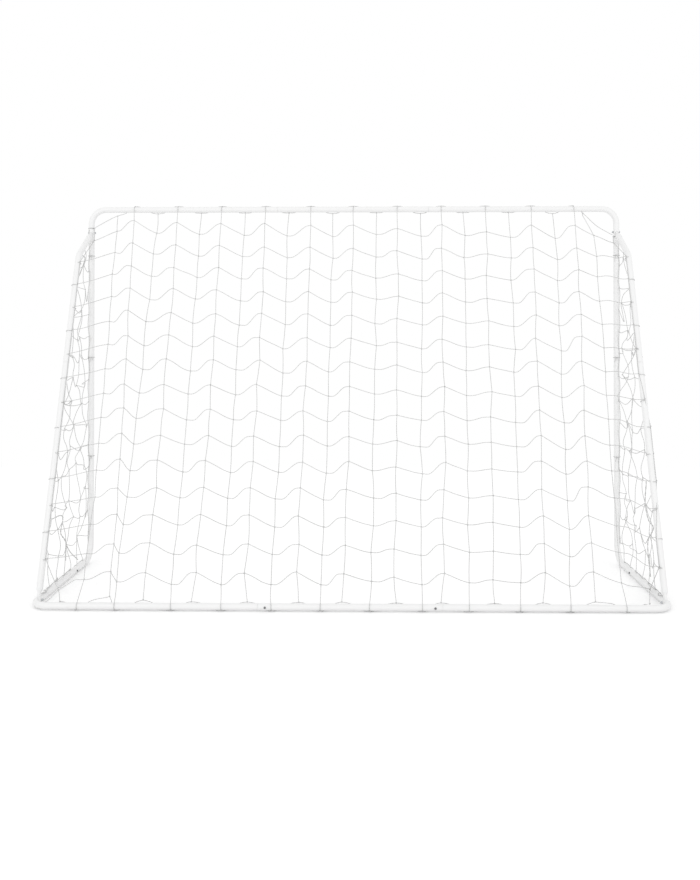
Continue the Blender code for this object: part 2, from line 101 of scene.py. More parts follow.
# Tubes and their push-fit ends
TUBE_WALL = 0.001
TOP_BEND_RADIUS = 0.050
FOOT_BEND_RADIUS = 0.055
REAR_BEND_RADIUS = 0.050
PLUG_LENGTH = 0.042
PLUG_WALL = 0.001
PLUG_LEAD_IN = 0.0015
PLUG_RADIUS = TUBE_RADIUS - TUBE_WALL - FIT_GAP
SWAGE_LENGTH = 0.004
EDGE_ROUND = 0.0003
RING_SPACING = 0.020
BEND_RINGS = 14
SHARP_EDGE = math.radians(35)
SHARP_TWINE = math.radians(80)
WELD_DISTANCE = 1e-7
NEARLY_UPRIGHT = 0.9

# Struts
STRUT_RADIUS = 0.0095
STRUT_BEND_RADIUS = 0.060
STRUT_JOINT_Z = 0.690
STRUT_PLUG_RADIUS = STRUT_RADIUS - TUBE_WALL - FIT_GAP
STRUT_TOP = np.array((0.0, FRONT_Y, TOP_Z - 0.080))
STRUT_BEND = STRUT_TOP + np.array((0.0, 0.150, -0.090))
STRUT_FOOT = np.array((0.0, REAR_Y - 0.062, GROUND_Z))
UPPER_LEG = unit(STRUT_BEND - STRUT_TOP)
LOWER_LEG = unit(STRUT_FOOT - STRUT_BEND)
STRUT_SHOULDER = STRUT_BEND + LOWER_LEG * (STRUT_JOINT_Z - STRUT_BEND[2]) / LOWER_LEG[2]
PEG_RADIUS = 0.006
PEG_WALL = 0.001
PEG_TAPER = 0.012
PEG_NECK = 0.008
PEG_PAST_AXIS = 0.005
TAPER_RINGS = 8

# Snap buttons, bolts and nuts
BUTTON_RADIUS = 0.003
BUTTON_PROUD = 0.003
BUTTON_DOME = 0.0012
DOME_STEPS = 10
FLANGE_RADIUS = 0.0036
FLANGE_THICKNESS = 0.0008
STRUT_BUTTON_TURN = math.pi / 6
LEAF_WIDTH = 0.005
LEAF_THICKNESS = 0.0005
LEAF_REACH = 0.016
LEAF_TIP = 0.004
LEAF_STEPS = 14
LEAF_MARGIN = 1.1
BOLT_RADIUS = 0.002
BOLT_HEAD_RADIUS = 0.00375
BOLT_HEAD_HEIGHT = 0.0024
BOLT_DOME_TURN = 1.25
BOLT_DOME_STEPS = 8
BOLT_PAST_NUT = 0.002
THREAD_PITCH = 0.0007
THREAD_DEPTH = 0.00022
THREAD_RINGS = 8
NUT_WIDTH = 0.007
NUT_HEIGHT = 0.0032
NUT_EDGE_LEVELS = (0, 0.0001, 0.0002, 0.00035, 0.0005)
NUT_CONE_SLOPE = 1.7
BOLT_SOCKET_WIDTH = 0.0025
BOLT_SOCKET_RIM = 0.0018
BOLT_SOCKET_DEPTH = 0.0013
HARDWARE_SIDES = 48
HARDWARE_TURN = np.arange(HARDWARE_SIDES) * 2 * math.pi / HARDWARE_SIDES

# The back net's slanted sheet, from the crossbar's axis to the rear bar's
SHEET_TOP = np.array((0.0, FRONT_Y, TOP_Z))
SHEET_END = np.array((0.0, REAR_Y, GROUND_Z))
SHEET_LENGTH = np.linalg.norm(SHEET_END - SHEET_TOP)
SHEET_DOWN = unit(SHEET_END - SHEET_TOP)
SHEET_OUT = np.cross(X_AXIS, SHEET_DOWN)

# The back net's columns and rows. Odd columns pass over the crossbar, even ones hang under it
COLUMNS = np.arange(-1, 24)
MIDDLE_COLUMN = 11
ROWS = np.arange(15)
OVER = COLUMNS % 2 == 1
TOP_PITCH = 0.0756
BOTTOM_PITCH = 0.0711
TOP_MIDDLE = -0.0015
BOTTOM_MIDDLE = 0.0174
MIDDLE_SWAY = 0.0105
UNDER_SHIFT = 0.005
FIRST_ROW = 0.075
ROW_PITCH = 0.0834
TOP_FALL = (-0.0055, -0.0110, -0.0159)
BOTTOM_FALL = (0.0005, 0.0028, -0.0075)
TOP_ZIGZAG = 0.040
BOTTOM_ZIGZAG = 0.031
SLACK_COLUMNS = {12: -0.008, 13: 0.012, 16: -0.006, 17: 0.020, 20: 0.006}
DRAWN_IN_AT_TOP = {0: -0.020, 9: -0.005, 16: 0.005, 19: -0.006, 22: 0.024}
DRAWN_IN_AT_BOTTOM = {-1: -0.045, 0: -0.031, 1: -0.041, 2: 0.017, 9: -0.005, 16: 0.005, 19: -0.006}
BELLY = 0.012
STRUT_PULL = {-1: 1.0, 0: 0.45, 1: 0.15, 21: 0.15, 22: 0.45, 23: 1.0}

# How far the back net's knots stray, and how the bars hold the net off
KNOT_SPREAD = (0.0022, 0.0020, 0.0015)
HELD_OFF = 0.2
HELD_OFF_REACH = 0.08

# The back net's edges: on the uprights in the first row, on the struts below it. Side 1 is the picture's left
EDGE_COLUMNS = {1: 0, -1: -1}
CORNER_COLUMNS = {1: 1, -1: 23}
CORNER_HEADS = {1: (0.814, 0.021), -1: (-0.789, 0.014)}
CORNER_TIE_X = SIDE_X - 0.0125
CORNER_TIE_Z = {1: 1.145, -1: 1.114}
EDGE_COLUMN_X = SIDE_X - 0.016
FIRST_CONTACT_Z = {1: 1.098, -1: 1.088}
STRUT_ROW_DROP = {1: 0.122, -1: 0.106}
STRUT_ROW_STRETCH = {1: 0.0, -1: 0.004}
STRETCHED_FROM_ROW = 5
CONTACT_TURN = 105.0
EDGE_TURN = 150.0
EDGE_KNOT_RISE = 0.004
OUTER_KNOTS = {1: {}, -1: {7: 90.0, 8: 15.0, 9: 10.0, 10: 20.0, 11: 90.0}}
LAST_EDGE_KNOT = {1: (0.832, 0.278, 0.050), -1: (-0.8905, 0.129, 0.020)}
LAST_CONTACT = {1: (0.8695, 0.2855, 0.0165), -1: (-0.8955, 0.124, 0.0165)}

# The columns' ends on both bars, with turns in degrees from the rear upwards
END_LENGTH = 0.008
OVER_TURNS = (96, 26)
UNDER_TURNS = (26, -45)
SEAT_TURN = 108.0
OVER_AND_UNDER = (90.0, 270.0)
REAR_TURNS = (116.0 - 360, -45.0)
CROSSBAR_SAG = 0.0006
SAGGING_COLUMNS = {2: 0.002, 10: 0.0025, 14: 0.0025, 20: 0.004}
FOOT_SHARE = 1.03
FOOT_SPREAD = 0.005
FOOT_SHIFT = {0: 0.014, 22: -0.009, 23: -0.012}
FOOT_RAISE = (0.0005, 0.003)
RAISED_COLUMNS = {1: 0.012, 3: 0.005, 21: 0.005}
LAST_ROW_LIFT = {0: 0.0085}

# The curves that cords take between knots, and the points that they are made of
COLUMN_BOW = 0.0007
RISE_BEGINS = (0.05, 0.28)
RISE_ENDS = (0.72, 0.98)
EARLY_RISE = 0.62
FALL_EASE = 0.25
ROW_WAVE = 0.02
ROW_SWAY = 0.0015
ROW_SAG = 0.0015
BORDER_EASE = 1.7
LIFT_REACH = 0.4
LONG_ARMS = {0: 3.0, 21: 3.0}
LONG_ARM_REACH = 0.9
KNOT_SHARE = 1.7
KNOT_TWINE = 0.55
KNOT_POINTS = 10
KNOT_SIDES = 4
SPAN_STEPS = 6
END_STEPS = 8
WRAP_STEPS = 9
SLACK_STEPS = 8
BORDER_STEPS = 12
CORNER_POINTS = 30
UPRIGHT_STEPS = 20
RAIL_STEPS = 90
STRAY_STEPS = 60
STRAY_TWIST = 60
STRUT_SAMPLES = 400
TAIL_STEPS = 12

# Side nets. Slack is the least and the most depth, the way that it hangs, and how far that strays
SIDE_SEED = 10
SIDE_ROWS = 13
SIDE_COLUMNS = 6
SIDE_FIRST_Y = FRONT_Y + 0.090
SIDE_PITCH = 0.068
SIDE_ROW_FALL = 0.016
STRUT_CLEARANCE = 0.025
CLEARANCE_KEPT = 0.7
WRAP_STOPS = (-50.0, 235.0)
FOOT_STOPS = (-40.0, 70.0)
BORDER_SLACK = 0.008
BORDER_SHIFT = 0.0055
BORDER_SWAY = 0.0025
BORDER_WAVES = 60
REAR_BORDER_AHEAD = (0.016, 0.045)
REAR_BORDER_TURNS = (80, 130)
FRINGE_FROM = 2
FRINGE_DEPTH = (0.006, 0.014)
FRINGE_LEAN = (20, 80)
ROW_SLACK = (0.002, 0.014, 0.0, 35.0)
COLUMN_SLACK = (0.002, 0.008, 90.0, 30.0)
FOOT_SLACK = (0.001, 0.005, 90.0, 30.0)
SLACK_LEAN = (0.8, 1.25)
SLACK_WAVE = 0.4
BIG_LOOP_SHARE = 0.12
BIG_LOOP_SIZE = 3.0
KNOT_WANDER = (0.006, 0.010, 0.010)
KNOT_ZIGZAG = 0.006
STRAY_CORDS = {
    1: (
        ((0.150, 0.225), (0.025, 0.200), (0.045, 0.167), (0.005, 0.134), (-0.026, 0.102), (-0.130, 0.040)),
        ((-0.176, 1.042), (-0.203, 1.036), (-0.187, 1.015), (-0.162, 0.993), (-0.137, 0.972)),
    ),
    -1: (
        ((0.060, 0.330), (0.050, 0.255), (0.085, 0.215), (0.130, 0.205), (0.075, 0.150), (0.100, 0.050)),
    ),
}

# Ties
TIE_SEED = 100
TIE_HEIGHTS = (1.050, 0.700, 0.360)
TIE_START = 1.9
TIE_RISE = 0.3
TIE_KNOT_SHARE = 1.8
TAIL_SHARE = 0.9
TAIL_SPREAD = 0.002

# Stage
FLOOR_Z = -0.0026
FLOOR_WHITE = 0.90
FLOOR_GLOW = 0.165
KEY_PLACE = (2.4, 6.4, 2.4)
FILL_PLACE = (-3.0, 5.5, 1.5)
LIGHT_SIZE = 4.0
LIGHT_AIM = (0, 0, 0.5)
SENSOR_WIDTH = 36


# Shader maths


class Socket:
    """A node's output. Arithmetic on it adds Math nodes, so that a pattern reads as an expression."""

    def __init__(self, nodes, output):
        self.nodes = nodes
        self.output = output

    def math(self, operation, *terms):
        return self.nodes.node("ShaderNodeMath", {"operation": operation}, dict(enumerate(terms)))

    def __add__(self, other):
        return self.math("ADD", self, other)

    def __sub__(self, other):
        return self.math("SUBTRACT", self, other)

    def __rsub__(self, other):
        return self.math("SUBTRACT", other, self)

    def __mul__(self, other):
        return self.math("MULTIPLY", self, other)

    __radd__ = __add__
    __rmul__ = __mul__

    def greater(self, other):
        return self.math("MAXIMUM", self, other)

    def wave(self):
        """0 to 1 and back as the value runs through a turn: (1 + sin a) / 2."""
        return self.math("SINE", self) * 0.5 + 0.5

    def ramp(self, low, high):
        """0 at the low value and below, 1 at the high one and above, and smooth between."""
        settings = {"interpolation_type": "SMOOTHSTEP"}
        return self.nodes.node("ShaderNodeMapRange", settings, {0: self, 1: low, 2: high})


class Nodes:
    """A node tree, and what the finishes and the surround add to it."""

    def __init__(self, tree):
        self.tree = tree

    def feed(self, socket, value):
        if isinstance(value, Socket):
            self.tree.links.new(value.output, socket)
        else:
            socket.default_value = value

    def node(self, kind, settings, sockets, output=0):
        """A node of the given type: its settings are set first, then its sockets are given or linked."""
        node = self.tree.nodes.new(kind)
        for setting, value in settings.items():
            setattr(node, setting, value)
        for socket, value in sockets.items():
            self.feed(node.inputs[socket], value)
        return Socket(self, node.outputs[output])

    def outputs(self, kind, names, sockets=()):
        """Several outputs of one node."""
        found = self.node(kind, {}, dict(sockets)).output.node.outputs
        return [Socket(self, found[name]) for name in names]

    def seen_directly(self):
        """1 for rays from the camera, and for what gloss and clear things show of the background, else 0."""
        rays = ("Is Camera Ray", "Is Glossy Ray", "Is Transmission Ray")
        camera, gloss, clear = self.outputs("ShaderNodeLightPath", rays)
        return camera.greater(gloss).greater(clear)


class Surface(Nodes):
    """A finish: a Principled shader, and the nodes that feed what changes over it."""

    def __init__(self, name, roughness, metallic=0.0):
        self.material = bpy.data.materials.new(name)
        self.material.use_nodes = True
        super().__init__(self.material.node_tree)
        self.shader = self.tree.nodes["Principled BSDF"]
        self.set("Metallic", metallic)
        self.set("Roughness", roughness)

    def set(self, socket, value):
        self.feed(self.shader.inputs[socket], value)

    def place(self):
        """Object coordinates, which are the frame's own metres."""
        return self.node("ShaderNodeTexCoord", {}, {}, "Object")

    def noise(self, scale, detail=2.0):
        return self.node("ShaderNodeTexNoise", {}, {"Vector": self.place(), "Scale": scale, "Detail": detail})

    def colour(self, factor, first, shares):
        """The first colour where the factor is 0. Where it is 1, each channel has its share of it."""
        second = tuple(channel * share for channel, share in zip(first, shares))
        sockets = {0: factor, 6: (*first, 1), 7: (*second, 1)}
        self.set("Base Color", self.node("ShaderNodeMix", {"data_type": "RGBA"}, sockets, 2))

    def bump(self, height, distance, strength):
        sockets = {"Height": height, "Distance": distance, "Strength": strength}
        self.set("Normal", self.node("ShaderNodeBump", {}, sockets))


def powder_coat(colour, roughness):
    """White baked powder: a fine orange peel, a faintly uneven gloss and a little handling grime."""
    surface = Surface("powder_coat", roughness)
    grime = surface.noise(9.0, 4.0).ramp(0.55, 0.80) * surface.noise(70.0, 3.0).ramp(0.35, 0.75)
    surface.colour(grime * 0.6, colour, (0.93, 0.925, 0.90))
    surface.set("Roughness", surface.noise(45.0) * 0.16 + (roughness - 0.08))
    surface.bump(surface.noise(650.0, 1.0) + surface.noise(1800.0, 1.0) * 0.3, 0.00004, 0.6)
    return surface.material


def plated_steel(name, colour, roughness):
    """Zinc-plated or blackened steel: a cloudy tint, and fine rub marks that break up its gloss."""
    surface = Surface(name, roughness, 1.0)
    surface.colour(surface.noise(260.0, 3.0).ramp(0.35, 0.70), colour, (0.82, 0.84, 0.80))
    surface.set("Roughness", surface.noise(900.0, 3.0) * 0.22 + (roughness - 0.10))
    surface.bump(surface.noise(2600.0, 2.0), 0.00002, 0.5)
    return surface.material


def twisted_twine(settings):
    """Two-ply twine: painted shade darkens the grooves between the plies, fine fibres run along them, and worn
    patches deepen that shade unevenly over the off-white.
    """
    surface = Surface("net_twine", 0.75)
    along = surface.node("ShaderNodeUVMap", {"uv_map": "UVMap"}, {})
    length, around = surface.outputs("ShaderNodeSeparateXYZ", ("X", "Y"), {0: along})
    turn = length * (2 * math.pi / settings.twine_lay) + around * (4 * math.pi)
    ply = turn.wave()
    fibres = (turn * 6.0 + surface.noise(900.0) * 5.0).wave()
    wear = surface.noise(14.0, 3.0).ramp(0.4, 0.75)
    # Painted shade: the grooves between the plies are darkened in the colour, more so over random worn
    # patches.
    painted_groove_shade_and_wear = 1 - ply.ramp(0.0, 0.45) * (1 - wear * 0.35)
    surface.colour(painted_groove_shade_and_wear, settings.twine_colour, (0.60, 0.60, 0.59))
    surface.bump(ply + fibres * 0.18, 0.00025, 0.8)
    return surface.material


# Surfaces from numpy arrays


def grid_faces(rows, columns, close_rows=False, close_columns=True):
    """The quads of a grid of points, kept row by row. A closed direction joins its last line to its first."""
    i = np.arange(rows if close_rows else rows - 1)[:, None]
    j = np.arange(columns if close_columns else columns - 1)[None, :]
    next_i = (i + 1) % rows
    next_j = (j + 1) % columns
    corners = (i * columns + j, i * columns + next_j, next_i * columns + next_j, next_i * columns + j)
    return np.stack(np.broadcast_arrays(*corners), axis=-1).reshape(-1, 4)


def circle(centres, tangents, references, radii, sides):
    """Round sections: centre + radius (cos a * side + sin a * up), side and up square to the tangent."""
    side = unit(np.cross(references, tangents))
    up = np.cross(tangents, side)
    angle = np.arange(sides)[:, None] * 2 * math.pi / sides
    spokes = np.cos(angle) * side[..., None, :] + np.sin(angle) * up[..., None, :]
    return centres[..., None, :] + radii[..., None, None] * spokes


def sweep(paths, radius, sides, references, closed=False):
    """Cords along many paths at once, each path a row of as many points.

    A point of a cord is path(s) + radius * (cos a * side + sin a * up). An open cord's ends are closed by a
    ring of radius 0. Its texture coordinates are the length in metres, and a as a share of a turn.
    """
    radii = np.full(paths.shape[:2], radius)
    if closed:
        tangents = unit(np.roll(paths, -1, axis=1) - np.roll(paths, 1, axis=1))
    else:
        tangents = unit(np.pad(np.gradient(paths, axis=1), ((0, 0), (1, 1), (0, 0)), "edge"))
        paths = np.pad(paths, ((0, 0), (1, 1), (0, 0)), "edge")
        radii = np.pad(radii, ((0, 0), (1, 1)))
    cords, points = paths.shape[:2]
    vertices = circle(paths, tangents, np.broadcast_to(references, paths.shape), radii, sides)
    one = grid_faces(points, sides, closed)
    faces = (one[None] + np.arange(cords)[:, None, None] * points * sides).reshape(-1, 4)
    steps = np.linalg.norm(np.diff(paths, axis=1, append=paths[:, :1]), axis=-1)
    length = np.pad(np.cumsum(steps, axis=1), ((0, 0), (1, 0)))
    i, j = np.divmod(np.arange(len(one)), sides)
    u = np.stack((length[:, i], length[:, i], length[:, i + 1], length[:, i + 1]), axis=-1)
    v = np.broadcast_to(np.stack((j, j + 1, j + 1, j), axis=-1) / sides, u.shape)
    return vertices.reshape(-1, 3), faces, np.stack((u, v), axis=-1).reshape(-1, 2)


def bundle(parts):
    """Several surfaces as one: points, faces and texture coordinates joined."""
    vertices, faces, coordinates = zip(*parts)
    starts = np.cumsum([0] + [len(points) for points in vertices[:-1]])
    faces = np.concatenate([part + start for part, start in zip(faces, starts)])
    return np.concatenate(vertices), faces, np.concatenate(coordinates)


def placed(vertices, at, out, along):
    """Points modelled with Z out and X along, put at their place."""
    return at + vertices @ np.array((along, np.cross(out, along), out))


def new_object(name, vertices, faces, material, coordinates=None, sharp=SHARP_EDGE):
    """A mesh object from arrays. Points in one place become one, which closes the poles."""
    mesh = bpy.data.meshes.new(name)
    mesh.vertices.add(len(vertices))
    mesh.vertices.foreach_set("co", np.ascontiguousarray(vertices, np.float32).ravel())
    mesh.loops.add(faces.size)
    mesh.loops.foreach_set("vertex_index", np.ascontiguousarray(faces, np.int32).ravel())
    mesh.polygons.add(len(faces))
    mesh.polygons.foreach_set("loop_start", np.arange(0, faces.size, 4, dtype=np.int32))
    mesh.update(calc_edges=True)
    if coordinates is not None:
        layer = mesh.uv_layers.new(name="UVMap")
        layer.data.foreach_set("uv", np.ascontiguousarray(coordinates, np.float32).ravel())
    welded = bmesh.new()
    welded.from_mesh(mesh)
    bmesh.ops.remove_doubles(welded, verts=welded.verts, dist=WELD_DISTANCE)
    welded.to_mesh(mesh)
    welded.free()
    mesh.validate()
    mesh.shade_smooth()
    mesh.set_sharp_from_angle(angle=sharp)
    mesh.materials.append(material)
    item = bpy.data.objects.new(name, mesh)
    bpy.context.scene.collection.objects.link(item)
    return item


def settle(item, slot, body, *nodes):
    """Makes a piece ride on its body, and hides the nodes that it stands for. Its slot is not used."""
    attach(item, body)
    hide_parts(*nodes)


# Tubes


def socket_end(radius):
    """A plain end's profile, as distance out of the corner and radius: outside, then inside from the tip."""
    part_way = EDGE_ROUND * 0.3
    rounded = [(-EDGE_ROUND, radius), (-part_way, radius - part_way), (0, radius - EDGE_ROUND)]
    return np.array(rounded), np.array([(0, radius - TUBE_WALL)])


def plug_end(radius, plug_radius):
    """The profile of an end swaged down to a plug that the next tube slides over."""
    outside = [
        (-EDGE_ROUND, radius),
        (0, radius - EDGE_ROUND),
        (0, plug_radius),
        (PLUG_LENGTH - PLUG_LEAD_IN, plug_radius),
        (PLUG_LENGTH, plug_radius - PLUG_LEAD_IN / 2),
    ]
    bore = plug_radius - PLUG_WALL
    return np.array(outside), np.array([(PLUG_LENGTH, bore), (0, bore), (-SWAGE_LENGTH, radius - TUBE_WALL)])


def peg_end(length):
    """The profile of a strut's end: its radius falls to the peg's along half a cosine wave."""
    share = np.linspace(0, 1, TAPER_RINGS + 1)
    taper = PEG_RADIUS + (STRUT_RADIUS - PEG_RADIUS) * (1 + np.cos(math.pi * share)) / 2
    tip = PEG_TAPER + length
    outside = np.column_stack((share * PEG_TAPER, taper))
    outside = np.concatenate((outside, [(tip - EDGE_ROUND, PEG_RADIUS), (tip, PEG_RADIUS - EDGE_ROUND)]))
    bore = PEG_RADIUS - PEG_WALL
    return outside, np.array([(tip, bore), (PEG_TAPER, bore), (0, STRUT_RADIUS - TUBE_WALL)])


def bent_axis(corners, bend_radius):
    """Points and directions along straight runs joined by arcs.

    A run is start + direction * distance. An arc is centre - radius (cos a * inward - sin a * forward).
    """
    points = []
    directions = []
    start = corners[0]
    for k in range(1, len(corners)):
        forward = unit(corners[k] - corners[k - 1])
        stop = corners[k]
        bends = k + 1 < len(corners)
        if bends:
            leave = unit(corners[k + 1] - corners[k])
            turn = math.acos(forward @ leave)
            stop = corners[k] - forward * bend_radius * math.tan(turn / 2)
        count = max(2, round(np.linalg.norm(stop - start) / RING_SPACING) + 1)
        points.append(start + (stop - start) * np.linspace(0, 1, count)[:, None])
        directions.append(np.broadcast_to(forward, (count, 3)))
        if bends:
            inward = unit(leave - forward * (forward @ leave))
            angle = np.linspace(0, turn, BEND_RINGS + 1)[1:-1, None]
            centre = stop + inward * bend_radius
            points.append(centre - bend_radius * (np.cos(angle) * inward - np.sin(angle) * forward))
            directions.append(np.cos(angle) * forward + np.sin(angle) * inward)
            start = corners[k] + leave * bend_radius * math.tan(turn / 2)
    return np.concatenate(points), np.concatenate(directions)


def tube_surface(corners, bend_radius, binormal, radius, start, end, sides):
    """A bent tube as one closed grid, with a profile at each end.

    Its rings run up the outside and back down the bore.
    """
    points, directions = bent_axis(corners, bend_radius)
    middle = len(points) - 2
    runs = []
    for (outside, inside), k, way in ((start, 0, -1), (end, -1, 1)):
        for profile in (outside[::way], inside[::way]):
            centres = points[k] + profile[:, :1] * directions[k] * way
            runs.append((centres, np.broadcast_to(directions[k], centres.shape), profile[:, 1]))
    start_outside, start_inside, end_outside, end_inside = runs
    up = (points[1:-1], directions[1:-1], np.full(middle, radius))
    back = (points[-2:0:-1], directions[-2:0:-1], np.full(middle, radius - TUBE_WALL))
    rings = zip(start_outside, up, end_outside, end_inside, back, start_inside)
    centres, tangents, radii = (np.concatenate(part) for part in rings)
    vertices = circle(centres, tangents, np.broadcast_to(binormal, centres.shape), radii, sides)
    return vertices.reshape(-1, 3), grid_faces(len(centres), sides, close_rows=True)


def side_place(side, y, z, x=SIDE_X):
    """A point on the left or the right side, in the side frame's plane unless x is given."""
    return np.array((side * x, y, z))


def peg_start(axis_point, outward_leg, tube_axis):
    """Where a strut's full diameter ends and how long its peg is, at a point of the carrying tube's axis."""
    neck = TUBE_RADIUS / np.linalg.norm(np.cross(outward_leg, tube_axis)) + PEG_NECK
    return axis_point - outward_leg * (neck + PEG_TAPER), neck + PEG_PAST_AXIS


def joint_corners(side):
    """Where each plug starts on one side: on the crossbar, rear bar, upright, side tube and strut."""
    return (
        side_place(side, FRONT_Y, TOP_Z, CENTRE_END_X),
        side_place(side, REAR_Y, GROUND_Z, CENTRE_END_X),
        side_place(side, FRONT_Y, UPRIGHT_JOINT_Z),
        side_place(side, SIDE_JOINT_Y, GROUND_Z),
        side_place(side, *STRUT_SHOULDER[1:]),
    )


def tube_pieces():
    """Each tube: its node, corners, bend radius, binormal, radius, and the profiles of its two ends."""
    plug = plug_end(TUBE_RADIUS, PLUG_RADIUS)
    socket = socket_end(TUBE_RADIUS)
    strut_plug = plug_end(STRUT_RADIUS, STRUT_PLUG_RADIUS)
    strut_socket = socket_end(STRUT_RADIUS)
    half = (CENTRE_END_X - FIT_GAP) * X_AXIS
    pieces = [
        (node, [middle - half, middle + half], 0, Z_AXIS, TUBE_RADIUS, socket, socket)
        for node, middle in (("crossbar_centre", SHEET_TOP), ("rear_bar_centre", SHEET_END))
    ]
    for label, side in SIDES.items():
        crossbar, rear_bar, upright, side_tube, shoulder = joint_corners(side)
        top = [crossbar, side_place(side, FRONT_Y, TOP_Z), upright + Z_AXIS * FIT_GAP]
        front = [upright, side_place(side, FRONT_Y, GROUND_Z), side_tube - Y_AXIS * FIT_GAP]
        rear = [side_tube, side_place(side, REAR_Y, GROUND_Z), rear_bar]
        head, head_peg = peg_start(side_place(side, *STRUT_TOP[1:]), -UPPER_LEG, Z_AXIS)
        foot, foot_peg = peg_start(side_place(side, *STRUT_FOOT[1:]), LOWER_LEG, Y_AXIS)
        head_peg, foot_peg = peg_end(head_peg), peg_end(foot_peg)
        upper = [head, side_place(side, *STRUT_BEND[1:]), shoulder - LOWER_LEG * FIT_GAP]
        lower = [shoulder, foot]
        pieces += [
            (f"top_corner_{label}", top, TOP_BEND_RADIUS, Y_AXIS, TUBE_RADIUS, plug, socket),
            (f"upright_{label}", front, FOOT_BEND_RADIUS, X_AXIS, TUBE_RADIUS, plug, socket),
            (f"rear_corner_{label}", rear, REAR_BEND_RADIUS, Z_AXIS, TUBE_RADIUS, plug, plug),
            (f"strut_upper_{label}", upper, STRUT_BEND_RADIUS, X_AXIS, STRUT_RADIUS, head_peg, strut_socket),
            (f"strut_lower_{label}", lower, 0, X_AXIS, STRUT_RADIUS, strut_plug, foot_peg),
        ]
    return pieces


def snap_places():
    """Each button: its name, its place on the plug's axis, the way it points, the plug's way, two radii."""
    frame_tube = (TUBE_RADIUS, PLUG_RADIUS - PLUG_WALL)
    strut_tube = (STRUT_RADIUS, STRUT_PLUG_RADIUS - PLUG_WALL)
    forward = np.cross(LOWER_LEG, X_AXIS)
    places = []
    for label, side in SIDES.items():
        inward = -side * X_AXIS
        strut_button = math.sin(STRUT_BUTTON_TURN) * forward - math.cos(STRUT_BUTTON_TURN) * inward
        ways = (
            ("crossbar", -Y_AXIS, inward, frame_tube),
            ("rear_bar", Y_AXIS, inward, frame_tube),
            ("upright", -Y_AXIS, Z_AXIS, frame_tube),
            ("side_tube", inward, -Y_AXIS, frame_tube),
            ("strut", strut_button, -LOWER_LEG, strut_tube),
        )
        places += [
            (f"{joint}_{label}", corner + along * PLUG_LENGTH / 2, out, along, radii)
            for corner, (joint, out, along, radii) in zip(joint_corners(side), ways)
        ]
    return places


def bolt_places():
    """Each cross bolt: its name, the point of the tube's axis that it crosses, and its side."""
    return [
        (f"{end}_{label}", side_place(side, *point[1:]), side)
        for label, side in SIDES.items()
        for end, point in (("top", STRUT_TOP), ("foot", STRUT_FOOT))
    ]


def hole_rods():
    """The rods that holes are cut with, each a start, a direction, a length and a radius: by kind."""
    buttons = [
        (at, out, radius + TUBE_WALL, BUTTON_RADIUS + FIT_GAP)
        for _, at, out, _, (radius, _) in snap_places()
    ]
    legs = (UPPER_LEG, -LOWER_LEG)
    pegs = [
        (at, leg, 2 * TUBE_RADIUS, PEG_RADIUS + FIT_GAP)
        for (_, at, _), leg in zip(bolt_places(), legs * len(SIDES))
    ]
    bolts = [
        (at - X_AXIS * 2 * TUBE_RADIUS, X_AXIS, 4 * TUBE_RADIUS, BOLT_RADIUS + FIT_GAP)
        for _, at, _ in bolt_places()
    ]
    return buttons, pegs, bolts


def cut_rods(item, rods):
    """Cuts round holes where a rod comes near the piece. Rods cut together must not cross each other."""
    low = np.array(item.bound_box).min(0)
    high = np.array(item.bound_box).max(0)
    surfaces = []
    for start, direction, length, radius in rods:
        middle = start + direction * length / 2
        if (middle < low - length).any() or (middle > high + length).any():
            continue
        vertices, faces = revolve([0, radius, radius, 0], [0, 0, length, length])
        along = unit(np.cross(direction, Z_AXIS if abs(direction[2]) < NEARLY_UPRIGHT else X_AXIS))
        surfaces.append((placed(vertices, start, direction, along), faces, np.zeros((faces.size, 2))))
    if not surfaces:
        return
    vertices, faces, _ = bundle(surfaces)
    cutter = new_object("holes", vertices, faces, item.data.materials[0])
    hole = item.modifiers.new("holes", "BOOLEAN")
    hole.operation = "DIFFERENCE"
    hole.solver = "EXACT"
    hole.object = cutter
    bpy.context.view_layer.update()
    whole = item.data
    item.data = bpy.data.meshes.new_from_object(item.evaluated_get(bpy.context.evaluated_depsgraph_get()))
    item.modifiers.clear()
    item.data.name = item.name
    item.data.set_sharp_from_angle(angle=SHARP_EDGE)
    bpy.data.meshes.remove(whole)
    bpy.data.meshes.remove(cutter.data)


# Hardware


def revolve(radius, height, close_rows=False):
    """A solid turned about Z: (r cos a, r sin a, h). A row's radius may change with the angle a."""
    radius = np.array([np.broadcast_to(row, HARDWARE_SIDES) for row in radius])
    height = np.broadcast_to(np.array(height)[:, None], radius.shape)
    points = np.stack((radius * np.cos(HARDWARE_TURN), radius * np.sin(HARDWARE_TURN), height), axis=-1)
    return points.reshape(-1, 3), grid_faces(len(radius), HARDWARE_SIDES, close_rows)


def hexagon(width):
    """The radius of a hexagon over its flats: half the width / cos(angle from the middle of the flat)."""
    return width / 2 / np.cos(HARDWARE_TURN % (math.pi / 3) - math.pi / 6)


def flange_stop(bore):
    """How high a flange stands where its rim meets the bore: sqrt(bore^2 - flange^2)."""
    return math.sqrt(bore**2 - FLANGE_RADIUS**2)


def button_surface(radius, bore):
    """A snap button: a flange that stops against the bore, a pin, and a dome (r cos t, base + d sin t)."""
    stop = flange_stop(bore) - FIT_GAP
    dome = np.linspace(0, math.pi / 2, DOME_STEPS)
    base = radius + BUTTON_PROUD - BUTTON_DOME
    radii = [0, FLANGE_RADIUS, FLANGE_RADIUS, BUTTON_RADIUS, *(BUTTON_RADIUS * np.cos(dome))]
    under = stop - FLANGE_THICKNESS
    return revolve(radii, [under, under, stop, stop, *(base + BUTTON_DOME * np.sin(dome))])


def leaf_levels(bore):
    """Heights of a leaf spring's two legs: under the button's flange, and on the far side of the bore."""
    upper = flange_stop(bore) - 2 * FIT_GAP - FLANGE_THICKNESS - LEAF_THICKNESS / 2
    return upper, LEAF_THICKNESS / 2 + FIT_GAP - math.sqrt(bore**2 - (LEAF_WIDTH / 2) ** 2)


